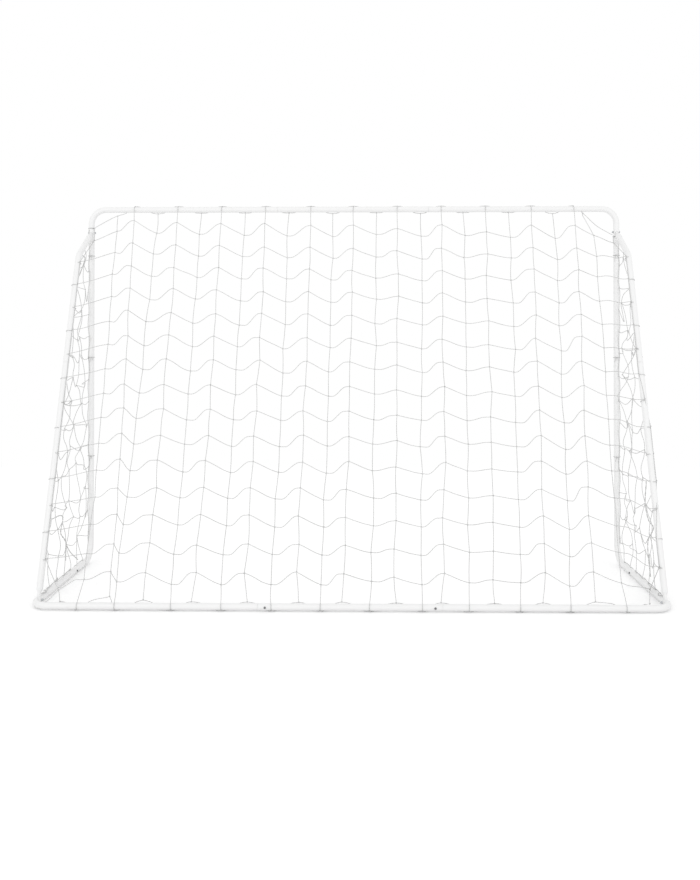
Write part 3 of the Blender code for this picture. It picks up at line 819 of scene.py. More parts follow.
def leaf_surface(bore):
    """A strip bent double: two straight legs, joined by a half turn centre + bend * (-sin a, cos a)."""
    upper, lower = leaf_levels(bore)
    bend = (upper - lower) / 2
    leg = np.linspace(0, LEAF_TIP + LEAF_REACH, LEAF_STEPS)
    turn = np.linspace(0, math.pi, LEAF_STEPS)[1:-1]
    x = np.concatenate((LEAF_TIP - leg, np.full(len(turn), -LEAF_REACH), leg - LEAF_REACH))
    turn = np.concatenate((0 * leg, turn, 0 * leg + math.pi))
    out = np.column_stack((-np.sin(turn), 0 * x, np.cos(turn)))
    centre = np.column_stack((x, 0 * x, 0 * x + (upper + lower) / 2)) + bend * out
    across = out * LEAF_THICKNESS / 2
    edge = Y_AXIS * LEAF_WIDTH / 2
    corners = (across - edge, across + edge, edge - across, -across - edge)
    sections = centre[:, None] + np.stack(corners, axis=1)
    ends = np.broadcast_to(centre[[0, -1], None], (2, 4, 3))
    sections = np.concatenate((ends[:1], sections, ends[1:]))
    return sections.reshape(-1, 3), grid_faces(len(sections), 4)


def leaf_hinge(bore):
    """Two points for a spring's bending: its lower leg stays, its tip under the flange goes all the way."""
    upper, lower = leaf_levels(bore)
    fall = LEAF_MARGIN * (LEAF_TIP + LEAF_REACH) / (upper - lower)
    slope = np.array((1.0, 0, fall)) / (LEAF_REACH - FLANGE_RADIUS)
    start = np.array((-LEAF_REACH, 0, upper))
    return np.stack((start, start + slope / (slope @ slope)))


def bolt_surface():
    """A domed bolt with a hexagon socket. The thread's radius: R - depth * saw(z / pitch + a / turn)."""
    seat = TUBE_RADIUS + FIT_GAP
    tip = -seat - NUT_HEIGHT - BOLT_PAST_NUT
    turns = round((NUT_HEIGHT + BOLT_PAST_NUT) / THREAD_PITCH)
    thread = np.linspace(tip + THREAD_PITCH, -seat, turns * THREAD_RINGS)
    saw = np.abs((thread[:, None] / THREAD_PITCH + HARDWARE_TURN / (2 * math.pi)) % 1 * 2 - 1)
    dome = np.linspace(0, BOLT_DOME_TURN, BOLT_DOME_STEPS)
    inwards = (1 - np.cos(dome)) / (1 - math.cos(BOLT_DOME_TURN))
    crown_radii = BOLT_HEAD_RADIUS - (BOLT_HEAD_RADIUS - BOLT_SOCKET_RIM) * inwards
    rise = BOLT_HEAD_HEIGHT / 2
    crown = seat + rise + rise * math.sin(BOLT_DOME_TURN)
    recess = hexagon(BOLT_SOCKET_WIDTH)
    rows = [
        (0, tip),
        (BOLT_RADIUS - 2 * THREAD_DEPTH, tip),
        (BOLT_RADIUS - THREAD_DEPTH, tip + THREAD_PITCH / 2),
        *zip(BOLT_RADIUS - THREAD_DEPTH * saw, thread),
        (BOLT_RADIUS, EDGE_ROUND - seat),
        (BOLT_RADIUS, seat),
        (BOLT_HEAD_RADIUS - EDGE_ROUND, seat),
        (BOLT_HEAD_RADIUS, seat + EDGE_ROUND),
        *zip(crown_radii, seat + rise + rise * np.sin(dome)),
        (recess, crown),
        (recess, crown - BOLT_SOCKET_DEPTH),
        (0, crown - BOLT_SOCKET_DEPTH),
    ]
    return revolve(*zip(*rows))


def nut_surface():
    """A hexagon nut. Near each face a cone cuts its corners: the lesser of hexagon and w/2 + slope h."""
    low = -TUBE_RADIUS - FIT_GAP - NUT_HEIGHT
    edge = np.array(NUT_EDGE_LEVELS)
    level = np.concatenate((edge, NUT_HEIGHT - edge[::-1]))
    cone = NUT_WIDTH / 2 - EDGE_ROUND / 3 + NUT_CONE_SLOPE * np.minimum(level, NUT_HEIGHT - level)
    bore = BOLT_RADIUS + FIT_GAP
    radii = [*np.minimum(cone[:, None], hexagon(NUT_WIDTH)), bore + EDGE_ROUND, bore, bore, bore + EDGE_ROUND]
    inner = np.array((NUT_HEIGHT, NUT_HEIGHT - EDGE_ROUND, EDGE_ROUND, 0))
    return revolve(radii, [*(low + level), *(low + inner)], close_rows=True)


# Net cords


class Twine:
    """One net's twine: its radius, how far it lies off the tubes' and struts' axes, and its own chance."""

    def __init__(self, settings, offset=0):
        self.radius = settings.twine_diameter / 2
        self.sides = settings.twine_sides
        self.hold = TUBE_RADIUS + self.radius + FIT_GAP
        self.strut_hold = STRUT_RADIUS + self.radius + FIT_GAP
        self.chance = np.random.default_rng(settings.seed + offset)

    def cords(self, paths, reference, share=1.0):
        """Cords along many paths, or one along a single path."""
        paths = paths.reshape(-1, *paths.shape[-2:])
        return sweep(paths, self.radius * share, self.sides, reference)

    def knots(self, places, across, down, share=KNOT_SHARE):
        """A small knot at each place: the closed figure of eight (cos s, 0.75 sin 2s, 0.45 sin s)."""
        s = np.arange(KNOT_POINTS)[:, None] * 2 * math.pi / KNOT_POINTS
        normal = np.cross(across, down)
        figure = np.cos(s) * across + 0.75 * np.sin(2 * s) * down + 0.45 * np.sin(s) * normal
        size = self.radius * share
        return sweep(places[:, None] + size * figure, size * KNOT_TWINE, KNOT_SIDES, normal, closed=True)


def arc_points(centre, radius, turns):
    """Points round an axis along X: centre + radius (cos a * Y + sin a * Z), turns in degrees."""
    angle = np.radians(turns)[..., None]
    return centre + np.asarray(radius)[..., None] * (np.cos(angle) * Y_AXIS + np.sin(angle) * Z_AXIS)


def smooth(share):
    """An ease from 0 to 1, level at both ends: 3 s^2 - 2 s^3."""
    share = np.clip(share, 0, 1)
    return share * share * (3 - 2 * share)


def strut_y(z):
    """How far back a strut's axis is at each height, its bend included."""
    line = bent_axis([STRUT_TOP, STRUT_BEND, STRUT_FOOT], STRUT_BEND_RADIUS)[0][::-1]
    return np.interp(z, line[:, 2], line[:, 1])


def round_strut(side, z, turns, hold):
    """Points round a strut's lower leg: axis + hold (cos a * outer side + sin a * rear), turns in degrees."""
    rear = np.cross(X_AXIS, LOWER_LEG)
    angle = np.radians(turns)[..., None]
    axis = np.stack(np.broadcast_arrays(side * SIDE_X, strut_y(z), z), axis=-1)
    return axis + hold * (np.cos(angle) * side * X_AXIS + np.sin(angle) * rear)


def by_column(values):
    """An array over the columns, 0 but for the ones given."""
    return np.array([values.get(int(column), 0.0) for column in COLUMNS])


def column_place(share):
    """Where each column stands across the goal, at a share of the way down the rows."""
    middle = TOP_MIDDLE + (BOTTOM_MIDDLE - TOP_MIDDLE) * share
    pitch = TOP_PITCH + (BOTTOM_PITCH - TOP_PITCH) * share
    x = middle - MIDDLE_SWAY * share * (1 - share) - (COLUMNS - MIDDLE_COLUMN) * pitch - UNDER_SHIFT * ~OVER
    x = x + by_column(DRAWN_IN_AT_TOP) * (1 - share) + by_column(DRAWN_IN_AT_BOTTOM) * share
    return np.clip(x, -EDGE_COLUMN_X, EDGE_COLUMN_X)


def strut_rows_z(side):
    """How high each row is where it meets a strut. The first one meets the upright."""
    z = TOP_Z - STRUT_ROW_DROP[side] + ROW_PITCH * SHEET_DOWN[2] * ROWS
    z = z - STRUT_ROW_STRETCH[side] * np.maximum(0, ROWS - STRETCHED_FROM_ROW)
    z[0] = FIRST_CONTACT_Z[side]
    return z


def row_falls(x):
    """How much further down the top and the bottom row hang: a + b w + c w^2, w = x / the side's x."""
    way = x / SIDE_X
    return [a + b * way + c * way**2 for a, b, c in (TOP_FALL, BOTTOM_FALL)]


def back_crossings(twine):
    """The back net's knots, one row of them for each column.

    A knot is the sheet's top + x X + distance D + lift N. The distance down is the row's own, how the net
    hangs askew, and a zigzag more on the columns that hang under the crossbar. The lift is the belly and what
    the bars hold off.
    """
    chance = twine.chance
    across_spread, down_spread, lift_spread = KNOT_SPREAD
    share = ROWS / ROWS[-1]
    x = np.stack([column_place(s) for s in share], axis=1)
    zigzag = TOP_ZIGZAG + (BOTTOM_ZIGZAG - TOP_ZIGZAG) * share
    top_fall, bottom_fall = row_falls(x)
    down = FIRST_ROW + ROW_PITCH * ROWS + by_column(SLACK_COLUMNS)[:, None]
    down = down + np.where(OVER[:, None], 0, zigzag) + top_fall * (1 - share) + bottom_fall * share
    x = x + chance.normal(0, across_spread, x.shape)
    down = down + chance.normal(0, down_spread, x.shape)
    down[:, -1] -= by_column(LAST_ROW_LIFT)
    lift = chance.normal(0, lift_spread, x.shape) - BELLY * np.sin(math.pi * down / SHEET_LENGTH)
    for held, distance in ((OVER, down), (~OVER, SHEET_LENGTH - down)):
        lift += np.where(held, 1, HELD_OFF)[:, None] * TUBE_RADIUS * np.exp(-distance / HELD_OFF_REACH)
    knots = SHEET_TOP + x[..., None] * X_AXIS + down[..., None] * SHEET_DOWN + lift[..., None] * SHEET_OUT
    pull = by_column(STRUT_PULL)[:, None]
    knots[..., 1] += np.maximum(0, strut_y(knots[..., 2]) - knots[..., 1]) * pull
    for side, column in EDGE_COLUMNS.items():
        z = strut_rows_z(side) + EDGE_KNOT_RISE
        turns = np.array([OUTER_KNOTS[side].get(int(row), EDGE_TURN) for row in ROWS])
        knots[column] = round_strut(side, z, turns, twine.strut_hold)
        knots[column, 0] = (side * CORNER_TIE_X, FRONT_Y + 0.012, z[0])
        knots[column, -1] = LAST_EDGE_KNOT[side]
    return knots


def cord_spans(knots, chance):
    """Cords through rows of knots, SPAN_STEPS points to a span, each span bowed a little to one side."""
    t = np.arange(SPAN_STEPS) / SPAN_STEPS
    step = np.diff(knots, axis=1)[:, :, None]
    side = chance.normal(0, COLUMN_BOW, step.shape)
    points = knots[:, :-1, None] + step * t[:, None] + side * np.sin(math.pi * t)[:, None]
    return np.concatenate((points.reshape(len(knots), -1, 3), knots[:, -1:]), axis=1)


def back_columns(knots, twine):
    """The upright cords: over or under the crossbar, through their knots, and round or onto the rear bar.

    What it gives is their paths, and the places where they start and end.
    """
    hold = twine.hold
    chance = twine.chance
    short = np.linspace(0, END_LENGTH, END_STEPS)[:, None]
    top = SHEET_TOP + column_place(0.0)[:, None] * X_AXIS
    over = arc_points(top[:, None], hold, np.linspace(*OVER_TURNS, END_STEPS))
    hang = top - Z_AXIS * (hold + CROSSBAR_SAG + by_column(SAGGING_COLUMNS)[:, None])
    under = hang[:, None] + unit(knots[:, 0] - hang)[:, None] * short
    head = np.where(OVER[:, None, None], over, under)
    for side, column in EDGE_COLUMNS.items():
        corner_x, below = CORNER_HEADS[side]
        head[column] = (side * CORNER_TIE_X, FRONT_Y + 0.008, CORNER_TIE_Z[side]) - Z_AXIS * short
        head[CORNER_COLUMNS[side]] = (corner_x, FRONT_Y + 0.002, TOP_Z - below) - Z_AXIS * short
    end_x = column_place(FOOT_SHARE) + by_column(FOOT_SHIFT) + chance.normal(0, FOOT_SPREAD, len(COLUMNS))
    end = SHEET_END + np.clip(end_x, -EDGE_COLUMN_X, EDGE_COLUMN_X)[:, None] * X_AXIS
    wrap = arc_points(end[:, None], hold, np.linspace(*UNDER_TURNS, END_STEPS))
    raised = chance.uniform(*FOOT_RAISE, len(COLUMNS)) + by_column(RAISED_COLUMNS)
    seat = arc_points(end, hold + raised, np.full(len(COLUMNS), SEAT_TURN))
    onto = seat[:, None] - unit(seat - knots[:, -1])[:, None] * short[::-1]
    foot = np.where(OVER[:, None, None], onto, wrap)
    anchors = np.concatenate((head[:, -1:], knots, foot[:, :1]), axis=1)
    paths = np.concatenate((head[:, :-1], cord_spans(anchors, chance), foot[:, 1:]), axis=1)
    return paths, head[:, 0], foot[:, -1]


def back_rows(knots, twine):
    """The cords across. From a knot that hangs low a cord runs level, then swings up in an S to the next.

    Across a span the cord is the straight line + the fall (ease(t) - t) along the sheet.
    """
    chance = twine.chance
    ends = []
    for side in (1, -1):
        contact = round_strut(side, strut_rows_z(side), np.full(len(ROWS), CONTACT_TURN), twine.strut_hold)
        contact[0] = (side * (SIDE_X - 0.006), FRONT_Y + 0.0095, FIRST_CONTACT_Z[side])
        contact[-1] = LAST_CONTACT[side]
        ends.append(contact[:, None])
    rows = np.concatenate((ends[0], knots.transpose(1, 0, 2), ends[1]), axis=1)
    t = np.arange(SPAN_STEPS * 2) / (SPAN_STEPS * 2)
    step = np.diff(rows, axis=1)
    size = (*step.shape[:2], 1)
    begin = chance.uniform(*RISE_BEGINS, size)
    finish = chance.uniform(*RISE_ENDS, size)
    rising = smooth((t - begin) / (finish - begin))
    wave = chance.normal(0, ROW_WAVE, size) * np.sin(2 * math.pi * t)
    falling = (1 - FALL_EASE) * t + FALL_EASE * smooth(t) + wave
    rises = np.append(np.insert(~OVER[:-1], 0, False), False)
    ease = np.where(rises[None, :, None], rising, falling)
    ease[-1, 1] = np.minimum(1, t / EARLY_RISE)
    arch = np.sin(math.pi * t)
    away = chance.normal(0, ROW_SWAY, size) * arch
    down = (step @ SHEET_DOWN)[..., None] * (ease - t) + ROW_SAG * arch
    points = rows[:, :-1, None] + step[:, :, None] * t[:, None]
    points = points + down[..., None] * SHEET_DOWN + away[..., None] * SHEET_OUT
    return np.concatenate((points.reshape(len(rows), -1, 3), rows[:, -1:]), axis=1)


def quick_below(t):
    """The turn from knot to knot on the rear bar, 0 to 1: slow by the odd columns, quick by the even ones."""
    power = (BORDER_EASE + by_column(LONG_ARMS))[:-1, None]
    return np.where(OVER[:-1, None], t**power, 1 - (1 - t)**power)


def wound_border(axis_points, out, hold, turns, lifts, ease=smooth, fade=LIFT_REACH):
    """A border cord that winds on a bar: axis + reach (cos a * out + sin a * Z).

    From knot to knot the turn a eases over, and the reach is the hold and a lift that fades off by the knots.
    """
    t = np.arange(BORDER_STEPS) / BORDER_STEPS
    angle = np.radians(turns[:-1, None] + np.diff(turns)[:, None] * ease(t))[..., None]
    near = np.maximum(0, 1 - t / fade)
    far = np.maximum(0, 1 - (1 - t) / fade)
    reach = hold + lifts[:-1, None] * near + lifts[1:, None] * far
    centre = axis_points[:-1, None] + np.diff(axis_points, axis=0)[:, None] * t[:, None]
    return (centre + reach[..., None] * (np.cos(angle) * out + np.sin(angle) * Z_AXIS)).reshape(-1, 3)


def round_upright(side, low, high, turns, start, hold, bulge=0.0):
    """Twine wound on an upright: axis + reach (cos a * outer side + sin a * Y).

    Its reach is the hold, and the bulge more where it passes over the border cord at the rear.
    """
    share = np.linspace(0, 1, round(abs(turns) * UPRIGHT_STEPS) + 1)
    angle = start + turns * 2 * math.pi * share
    reach = hold + bulge * np.maximum(0, np.sin(angle)) ** 4
    x = side * (SIDE_X + reach * np.cos(angle))
    return np.column_stack((x, FRONT_Y + reach * np.sin(angle), low + (high - low) * share))


def rounded_path(corners, count):
    """A smooth curve through points, at even steps: from each to the next a cubic that keeps their slopes."""
    corners = np.array(corners)
    length = np.pad(np.cumsum(np.linalg.norm(np.diff(corners, axis=0), axis=1)), (1, 0))
    slope = np.gradient(corners, length, axis=0)
    at = np.linspace(0, length[-1], count)
    k = np.clip(np.searchsorted(length, at, side="right") - 1, 0, len(corners) - 2)
    span = (length[k + 1] - length[k])[:, None]
    t = (at - length[k])[:, None] / span
    return (
        (2 * t**3 - 3 * t**2 + 1) * corners[k] + (t**3 - 2 * t**2 + t) * span * slope[k]
        + (3 * t**2 - 2 * t**3) * corners[k + 1] + (t**3 - t**2) * span * slope[k + 1]
    )


def crossbar_border(heads, twine):
    """The border cord that winds on the crossbar, and at both ends runs down to the corner tie."""
    hold = twine.hold
    on_bar = slice(CORNER_COLUMNS[1] + 1, CORNER_COLUMNS[-1])
    turns = np.where(OVER, *OVER_AND_UNDER)[on_bar]
    drop = np.where(OVER, 0.0, CROSSBAR_SAG + by_column(SAGGING_COLUMNS))[on_bar]
    top = SHEET_TOP + heads[on_bar, :1] * X_AXIS
    middle = wound_border(top, Y_AXIS, hold, turns, drop)
    left = [
        middle[0],
        (middle[0, 0] + 0.020, FRONT_Y - hold, TOP_Z + 0.001),
        (0.785, FRONT_Y, TOP_Z - hold),
        heads[CORNER_COLUMNS[1]],
        (SIDE_X - 0.014, FRONT_Y + 0.004, CORNER_TIE_Z[1] + 0.004),
    ]
    right = [
        top[-1] + Z_AXIS * hold,
        (top[-1, 0] - 0.018, FRONT_Y - hold, TOP_Z + 0.001),
        (-0.787, FRONT_Y, TOP_Z - hold),
        (-0.840, FRONT_Y + 0.001, TOP_Z - 0.060),
        (0.014 - SIDE_X, FRONT_Y + 0.004, CORNER_TIE_Z[-1] + 0.006),
    ]
    left, right = (rounded_path(corners, CORNER_POINTS) for corners in (left, right))
    return np.concatenate((left[::-1], middle[1:], right))


def rear_border(feet, twine):
    """The border cord that winds on the rear bar, through the feet of all columns."""
    end = SHEET_END + feet[:, :1] * X_AXIS
    turns = np.where(OVER, *REAR_TURNS)
    lifts = np.linalg.norm((feet - end)[:, 1:], axis=1) - twine.hold
    fade = np.where(by_column(LONG_ARMS) > 0, LONG_ARM_REACH, LIFT_REACH)[:-1, None]
    return wound_border(end, Y_AXIS, twine.hold, turns, lifts, quick_below, fade)


def back_net_surface(settings):
    """The back net: its columns, rows, the border cords on both bars, the corner ties and all its knots."""
    twine = Twine(settings)
    knots = back_crossings(twine)
    columns, heads, feet = back_columns(knots, twine)
    rows = back_rows(knots, twine)
    borders = [crossbar_border(heads, twine), rear_border(feet, twine)]
    for side, z in CORNER_TIE_Z.items():
        borders.append(round_upright(side, z - 0.001, z + 0.002, 1.3, 2.2, twine.hold))
    return bundle([
        twine.cords(columns, X_AXIS),
        twine.cords(rows, SHEET_OUT),
        *(twine.cords(border, X_AXIS + 0.05 * SHEET_OUT) for border in borders),
        twine.knots(np.concatenate((knots.reshape(-1, 3), heads, feet)), X_AXIS, SHEET_DOWN),
    ])


def front_border(side, z, hold):
    """Places on a side net's front border, behind the upright and a little to its outer side.

    Off the tube: slack sin^2(pi t), t counted from tie to tie.
    """
    ties = sorted((CORNER_TIE_Z[side], *TIE_HEIGHTS, GROUND_Z + FOOT_BEND_RADIUS))
    off = BORDER_SLACK * np.sin(math.pi * np.interp(z, ties, np.arange(len(ties)))) ** 2
    x = side * (SIDE_X + BORDER_SHIFT - BORDER_SWAY * np.sin(BORDER_WAVES * z))
    y = FRONT_Y + np.sqrt(hold**2 - (np.abs(x) - SIDE_X) ** 2) + off
    return np.stack((x, y, z), axis=-1)


def side_crossings(side, y, chance):
    """A side net's knots by row and column, and which of them lie in front of the strut.

    Every second knot is drawn inwards, the others outwards. A row falls from the strut to the upright, and
    every knot is a little off.
    """
    z = strut_rows_z(side)[1:SIDE_ROWS + 1, None]
    back = strut_y(z)
    inside = y < back - STRUT_CLEARANCE
    row, column = np.indices(inside.shape)
    knots = np.stack((
        side * SIDE_X + KNOT_ZIGZAG * (-1.0) ** (row + column),
        np.broadcast_to(y, inside.shape),
        z - SIDE_ROW_FALL * (back - y) / (back - FRONT_Y),
    ), axis=-1)
    knots += chance.normal(0, KNOT_WANDER, knots.shape)
    knots[..., 1] = np.minimum(knots[..., 1], strut_y(knots[..., 2]) - STRUT_CLEARANCE * CLEARANCE_KEPT)
    return knots, inside


def slack_spans(start, end, depth, turns, chance):
    """Slack cords from start to end: the straight line + depth (sin(pi t^share) + wave sin(2 pi t)) that way.

    Turn 0 hangs down, 90 bulges along X and 180 rises.
    """
    t = np.linspace(0, 1, SLACK_STEPS + 1)
    share = chance.uniform(*SLACK_LEAN, len(start))[:, None]
    wave = chance.normal(0, SLACK_WAVE, len(start))[:, None]
    angle = np.radians(turns)[:, None]
    way = -np.cos(angle) * Z_AXIS + np.sin(angle) * X_AXIS
    bulge = depth[:, None] * (np.sin(math.pi * t**share) + wave * np.sin(2 * math.pi * t))
    return start[:, None] + (end - start)[:, None] * t[:, None] + bulge[..., None] * way[:, None]


def side_cords(knots, inside, strut, front, head, foot, chance):
    """The slack cords of a side net: rows from border to strut, columns from strut to side tube."""
    starts = np.concatenate((front[:, None], knots), axis=1)
    used = np.insert(inside, 0, True, axis=1)
    more = np.pad(inside, ((0, 0), (0, 1)))[..., None]
    ends = np.where(more, np.append(knots, knots[:, -1:], axis=1), strut[:, None])
    hung = np.pad(inside[:-1], ((1, 0), (0, 0)))[..., None]
    above = np.where(hung, np.concatenate((head[None], knots[:-1])), head)
    cords = []
    for start, end, (low, high, turn, spread) in (
        (starts[used], ends[used], ROW_SLACK),
        (above[inside], knots[inside], COLUMN_SLACK),
        (knots[-1], foot, FOOT_SLACK),
    ):
        count = len(start)
        depth = chance.uniform(low, high, count)
        if turn == 0:
            depth *= np.where(chance.uniform(0, 1, count) < BIG_LOOP_SHARE, BIG_LOOP_SIZE, 1)
        way = turn * chance.choice((-1, 1), count) + chance.normal(0, spread, count)
        cords.append(slack_spans(start, end, depth, way, chance))
    return np.concatenate(cords)


def strut_wraps(side, z, hold):
    """The rows' ends, wound on the strut: every second one inwards, the others outwards."""
    stop = np.where(np.arange(len(z)) % 2, *WRAP_STOPS)
    turns = CONTACT_TURN + (stop[:, None] - CONTACT_TURN) * np.linspace(0, 1, WRAP_STEPS)
    return np.stack([round_strut(side, z, turns[:, k], hold) for k in range(WRAP_STEPS)], axis=1)


def column_heads(side, y, hold):
    """Where a side net's columns hang from the strut: its axis + hold, square to its lean and ahead of it."""
    height = np.linspace(GROUND_Z, STRUT_TOP[2], STRUT_SAMPLES)
    depth = strut_y(height)
    lean = unit(np.stack((np.gradient(depth), np.gradient(height)), axis=-1))
    z = np.interp(y, depth[::-1], height[::-1])
    ahead = [hold * np.interp(z, height, part) for part in (-lean[:, 1], lean[:, 0])]
    return np.column_stack((np.full(len(y), side * SIDE_X), y + ahead[0], z + ahead[1]))


def stray_cords(side, radius):
    """Loose double cords in the side net: each is one path + and - radius (cos a * X + sin a * Z)."""
    x = side * (SIDE_X - 0.004)
    paths = [rounded_path([(x, *place) for place in places], STRAY_STEPS) for places in STRAY_CORDS[side]]
    twist = np.linspace(0, STRAY_TWIST, STRAY_STEPS)[:, None]
    apart = radius * (np.cos(twist) * X_AXIS + np.sin(twist) * Z_AXIS)
    return np.concatenate((paths + apart, paths - apart))


def side_net_surface(settings, side):
    """One side net: rows that wrap the strut and run forward, columns from the strut to the side tube."""
    twine = Twine(settings, SIDE_SEED + side)
    hold = twine.hold
    chance = twine.chance
    y = SIDE_FIRST_Y + SIDE_PITCH * np.arange(SIDE_COLUMNS)
    z = strut_rows_z(side)[1:SIDE_ROWS + 1]
    knots, inside = side_crossings(side, y, chance)
    wraps = strut_wraps(side, z, twine.strut_hold)
    front = front_border(side, z - SIDE_ROW_FALL, hold)
    head = column_heads(side, y, twine.strut_hold)
    axis = np.array([side_place(side, place, GROUND_Z) for place in y])
    foot = axis + Z_AXIS * hold
    cords = side_cords(knots, inside, wraps[:, -1], front, head, foot, chance)
    stop = np.where(np.arange(SIDE_COLUMNS) % 2, *FOOT_STOPS)
    turn = np.radians(90 + (stop[:, None] - 90) * np.linspace(0, 1, WRAP_STEPS))[..., None]
    ends = axis[:, None] + hold * (np.cos(turn) * side * X_AXIS + np.sin(turn) * Z_AXIS)
    rear = np.array([side_place(side, STRUT_FOOT[1] - ahead, GROUND_Z) for ahead in REAR_BORDER_AHEAD])
    line = np.concatenate((rear, axis[::-1]))
    turns = np.concatenate((REAR_BORDER_TURNS, stop[::-1]))
    border = wound_border(line, side * X_AXIS, hold, turns, np.zeros(len(line)))
    hung = np.concatenate((foot[FRINGE_FROM:], rear[:1] + Z_AXIS * hold))
    depth = chance.uniform(*FRINGE_DEPTH, len(hung) - 1)
    lean = 180 + side * chance.uniform(*FRINGE_LEAN, len(hung) - 1)
    fringe = slack_spans(hung[:-1], hung[1:], depth, lean, chance)
    rail = np.linspace(CORNER_TIE_Z[side] - 0.004, GROUND_Z + FOOT_BEND_RADIUS, RAIL_STEPS)
    places = np.concatenate((knots[inside], front, wraps[:, -1], head, ends[:, -1]))
    return bundle([
        twine.cords(wraps, LOWER_LEG),
        twine.cords(cords, X_AXIS + 0.13 * Y_AXIS + 0.07 * Z_AXIS),
        twine.cords(ends, Y_AXIS),
        twine.cords(border, Y_AXIS + 0.1 * Z_AXIS),
        twine.cords(fringe, Z_AXIS + 0.1 * Y_AXIS),
        twine.cords(stray_cords(side, twine.radius), X_AXIS),
        twine.cords(front_border(side, rail, hold), Y_AXIS),
        twine.knots(places, Y_AXIS, -Z_AXIS),
    ])


def tie_surface(settings, side, number):
    """A tie: twine wound round the upright and the net's border cord, knotted, with two short tails."""
    twine = Twine(settings, TIE_SEED * number + side)
    rise = twine.radius * TIE_RISE
    bulge = 2 * twine.radius + FIT_GAP
    z = TIE_HEIGHTS[number - 1]
    knot = np.array((side * (SIDE_X - 0.004), FRONT_Y + twine.hold + bulge + twine.radius, z))
    wound = round_upright(side, z - rise, z + rise, 1.0, TIE_START, twine.hold, bulge)
    parts = [twine.cords(wound, Z_AXIS)]
    t = np.linspace(0, 1, TAIL_STEPS)[:, None]
    for way in (-1, 1):
        lean = (way * 0.006, 0.005) + twine.chance.normal(0, TAIL_SPREAD, 2)
        tail = knot + np.append(lean, 0) * t - Z_AXIS * (0.012 + 0.004 * way) * t**1.5
        parts.append(twine.cords(tail, X_AXIS, TAIL_SHARE))
    parts.append(twine.knots(knot[None], X_AXIS, -Z_AXIS, TIE_KNOT_SHARE))
    return bundle(parts)


# Settings


class GoalFrameSettings(bpy.types.PropertyGroup):
    coat_colour: bpy.props.FloatVectorProperty(
        name="Powder coat", description="Colour of the tubes", subtype="COLOR", size=3, min=0, max=1,
        default=(0.86, 0.86, 0.86),
    )
    coat_roughness: bpy.props.FloatProperty(
        name="Coat roughness", description="How dull the powder coat is", subtype="FACTOR", min=0, max=1,
        default=0.38,
    )
    button_colour: bpy.props.FloatVectorProperty(
        name="Snap buttons", description="Colour of the blackened buttons", subtype="COLOR", size=3, min=0,
        max=1, default=(0.20, 0.20, 0.21),
    )
    spring_colour: bpy.props.FloatVectorProperty(
        name="Springs", description="Colour of the leaf springs", subtype="COLOR", size=3, min=0, max=1,
        default=(0.52, 0.53, 0.55),
    )
    plated_colour: bpy.props.FloatVectorProperty(
        name="Bolts and nuts", description="Colour of the zinc plating", subtype="COLOR", size=3, min=0,
        max=1, default=(0.62, 0.63, 0.66),
    )
    tube_sides: bpy.props.IntProperty(
        name="Tube sides", description="Points round each tube", min=24, max=96, default=48,
    )


class GoalNetSettings(bpy.types.PropertyGroup):
    twine_diameter: bpy.props.FloatProperty(
        name="Twine", description="Diameter of the net's twine", unit="LENGTH", min=0.001, max=0.004,
        default=0.002, precision=4,
    )
    twine_lay: bpy.props.FloatProperty(
        name="Lay", description="Length of one turn of the twine's two plies", unit="LENGTH", min=0.004,
        max=0.02, default=0.008, precision=4,
    )
    # The twine's off-white, set darker than the twine itself as painted shade for the self-shadowing within
    # its twist.
    twine_colour: bpy.props.FloatVectorProperty(
        name="Twine colour", description="Colour of the twine", subtype="COLOR", size=3, min=0, max=1,
        default=(0.70, 0.70, 0.70),
    )
    twine_sides: bpy.props.IntProperty(
        name="Twine sides", description="Points round each cord", min=5, max=12, default=8,
    )
    seed: bpy.props.IntProperty(
        name="Seed", description="Start of the net's small irregularities", min=0, default=7,
    )


class GoalStageSettings(bpy.types.PropertyGroup):
    camera_place: bpy.props.FloatVectorProperty(
        name="Camera", description="Where the camera stands", subtype="TRANSLATION", unit="LENGTH", size=3,
        default=(-0.0437, 2.9935, 0.7803),
    )
    camera_direction: bpy.props.FloatVectorProperty(
        name="Direction", description="The way the camera looks", subtype="DIRECTION", size=3,
        default=(0.01624, -0.99981, 0.0103),
    )
    camera_lens: bpy.props.FloatProperty(
        name="Lens", description="Focal length", unit="CAMERA", min=10, max=200, default=39.036,
    )
    camera_shift: bpy.props.FloatProperty(
        name="Shift", description="Vertical shift that frames the goal", default=-0.1316,
    )
    floor_size: bpy.props.FloatProperty(
        name="Floor", description="Width of the floor", unit="LENGTH", min=2, default=5.2,
    )
    key_power: bpy.props.FloatProperty(
        name="Key light", description="Power of the soft light above the camera", unit="POWER", min=0,
        default=60.0,
    )
    fill_power: bpy.props.FloatProperty(
        name="Fill light", description="Power of the weaker soft light on the other side", unit="POWER",
        min=0, default=28.0,
    )
    surround: bpy.props.FloatProperty(
        name="Surround", description="Strength of the light from all round", min=0, max=2, default=0.93,
    )


# Operators


def hang_net(surface, finish, name, node):
    """Makes twine a piece of the scene, which stands for a node of the frame."""
    vertices, faces, coordinates = surface
    item = new_object(name, vertices, faces, finish, coordinates, SHARP_TWINE)
    settle(item, "net_twine", "frame", node)


class BuildTubes(bpy.types.Operator):
    """Replaces the tubes with fine ones: rounded socket edges, swaged plugs, tapered pegs and holes"""

    bl_idname = "goal.build_tubes"
    bl_label = "Tubes"

    def execute(self, context):
        settings = context.scene.goal_frame
        coat = powder_coat(settings.coat_colour, settings.coat_roughness)
        buttons, pegs, bolts = hole_rods()
        for node, *shape in tube_pieces():
            item = new_object(f"tube_{node}", *tube_surface(*shape, settings.tube_sides), coat)
            cut_rods(item, buttons)
            if node.startswith(("top_corner", "rear_corner")):
                cut_rods(item, pegs)
            if node.startswith(("top_corner", "rear_corner", "strut")):
                cut_rods(item, bolts)
            settle(item, "white_powder_coat", "frame", node)
        return {"FINISHED"}


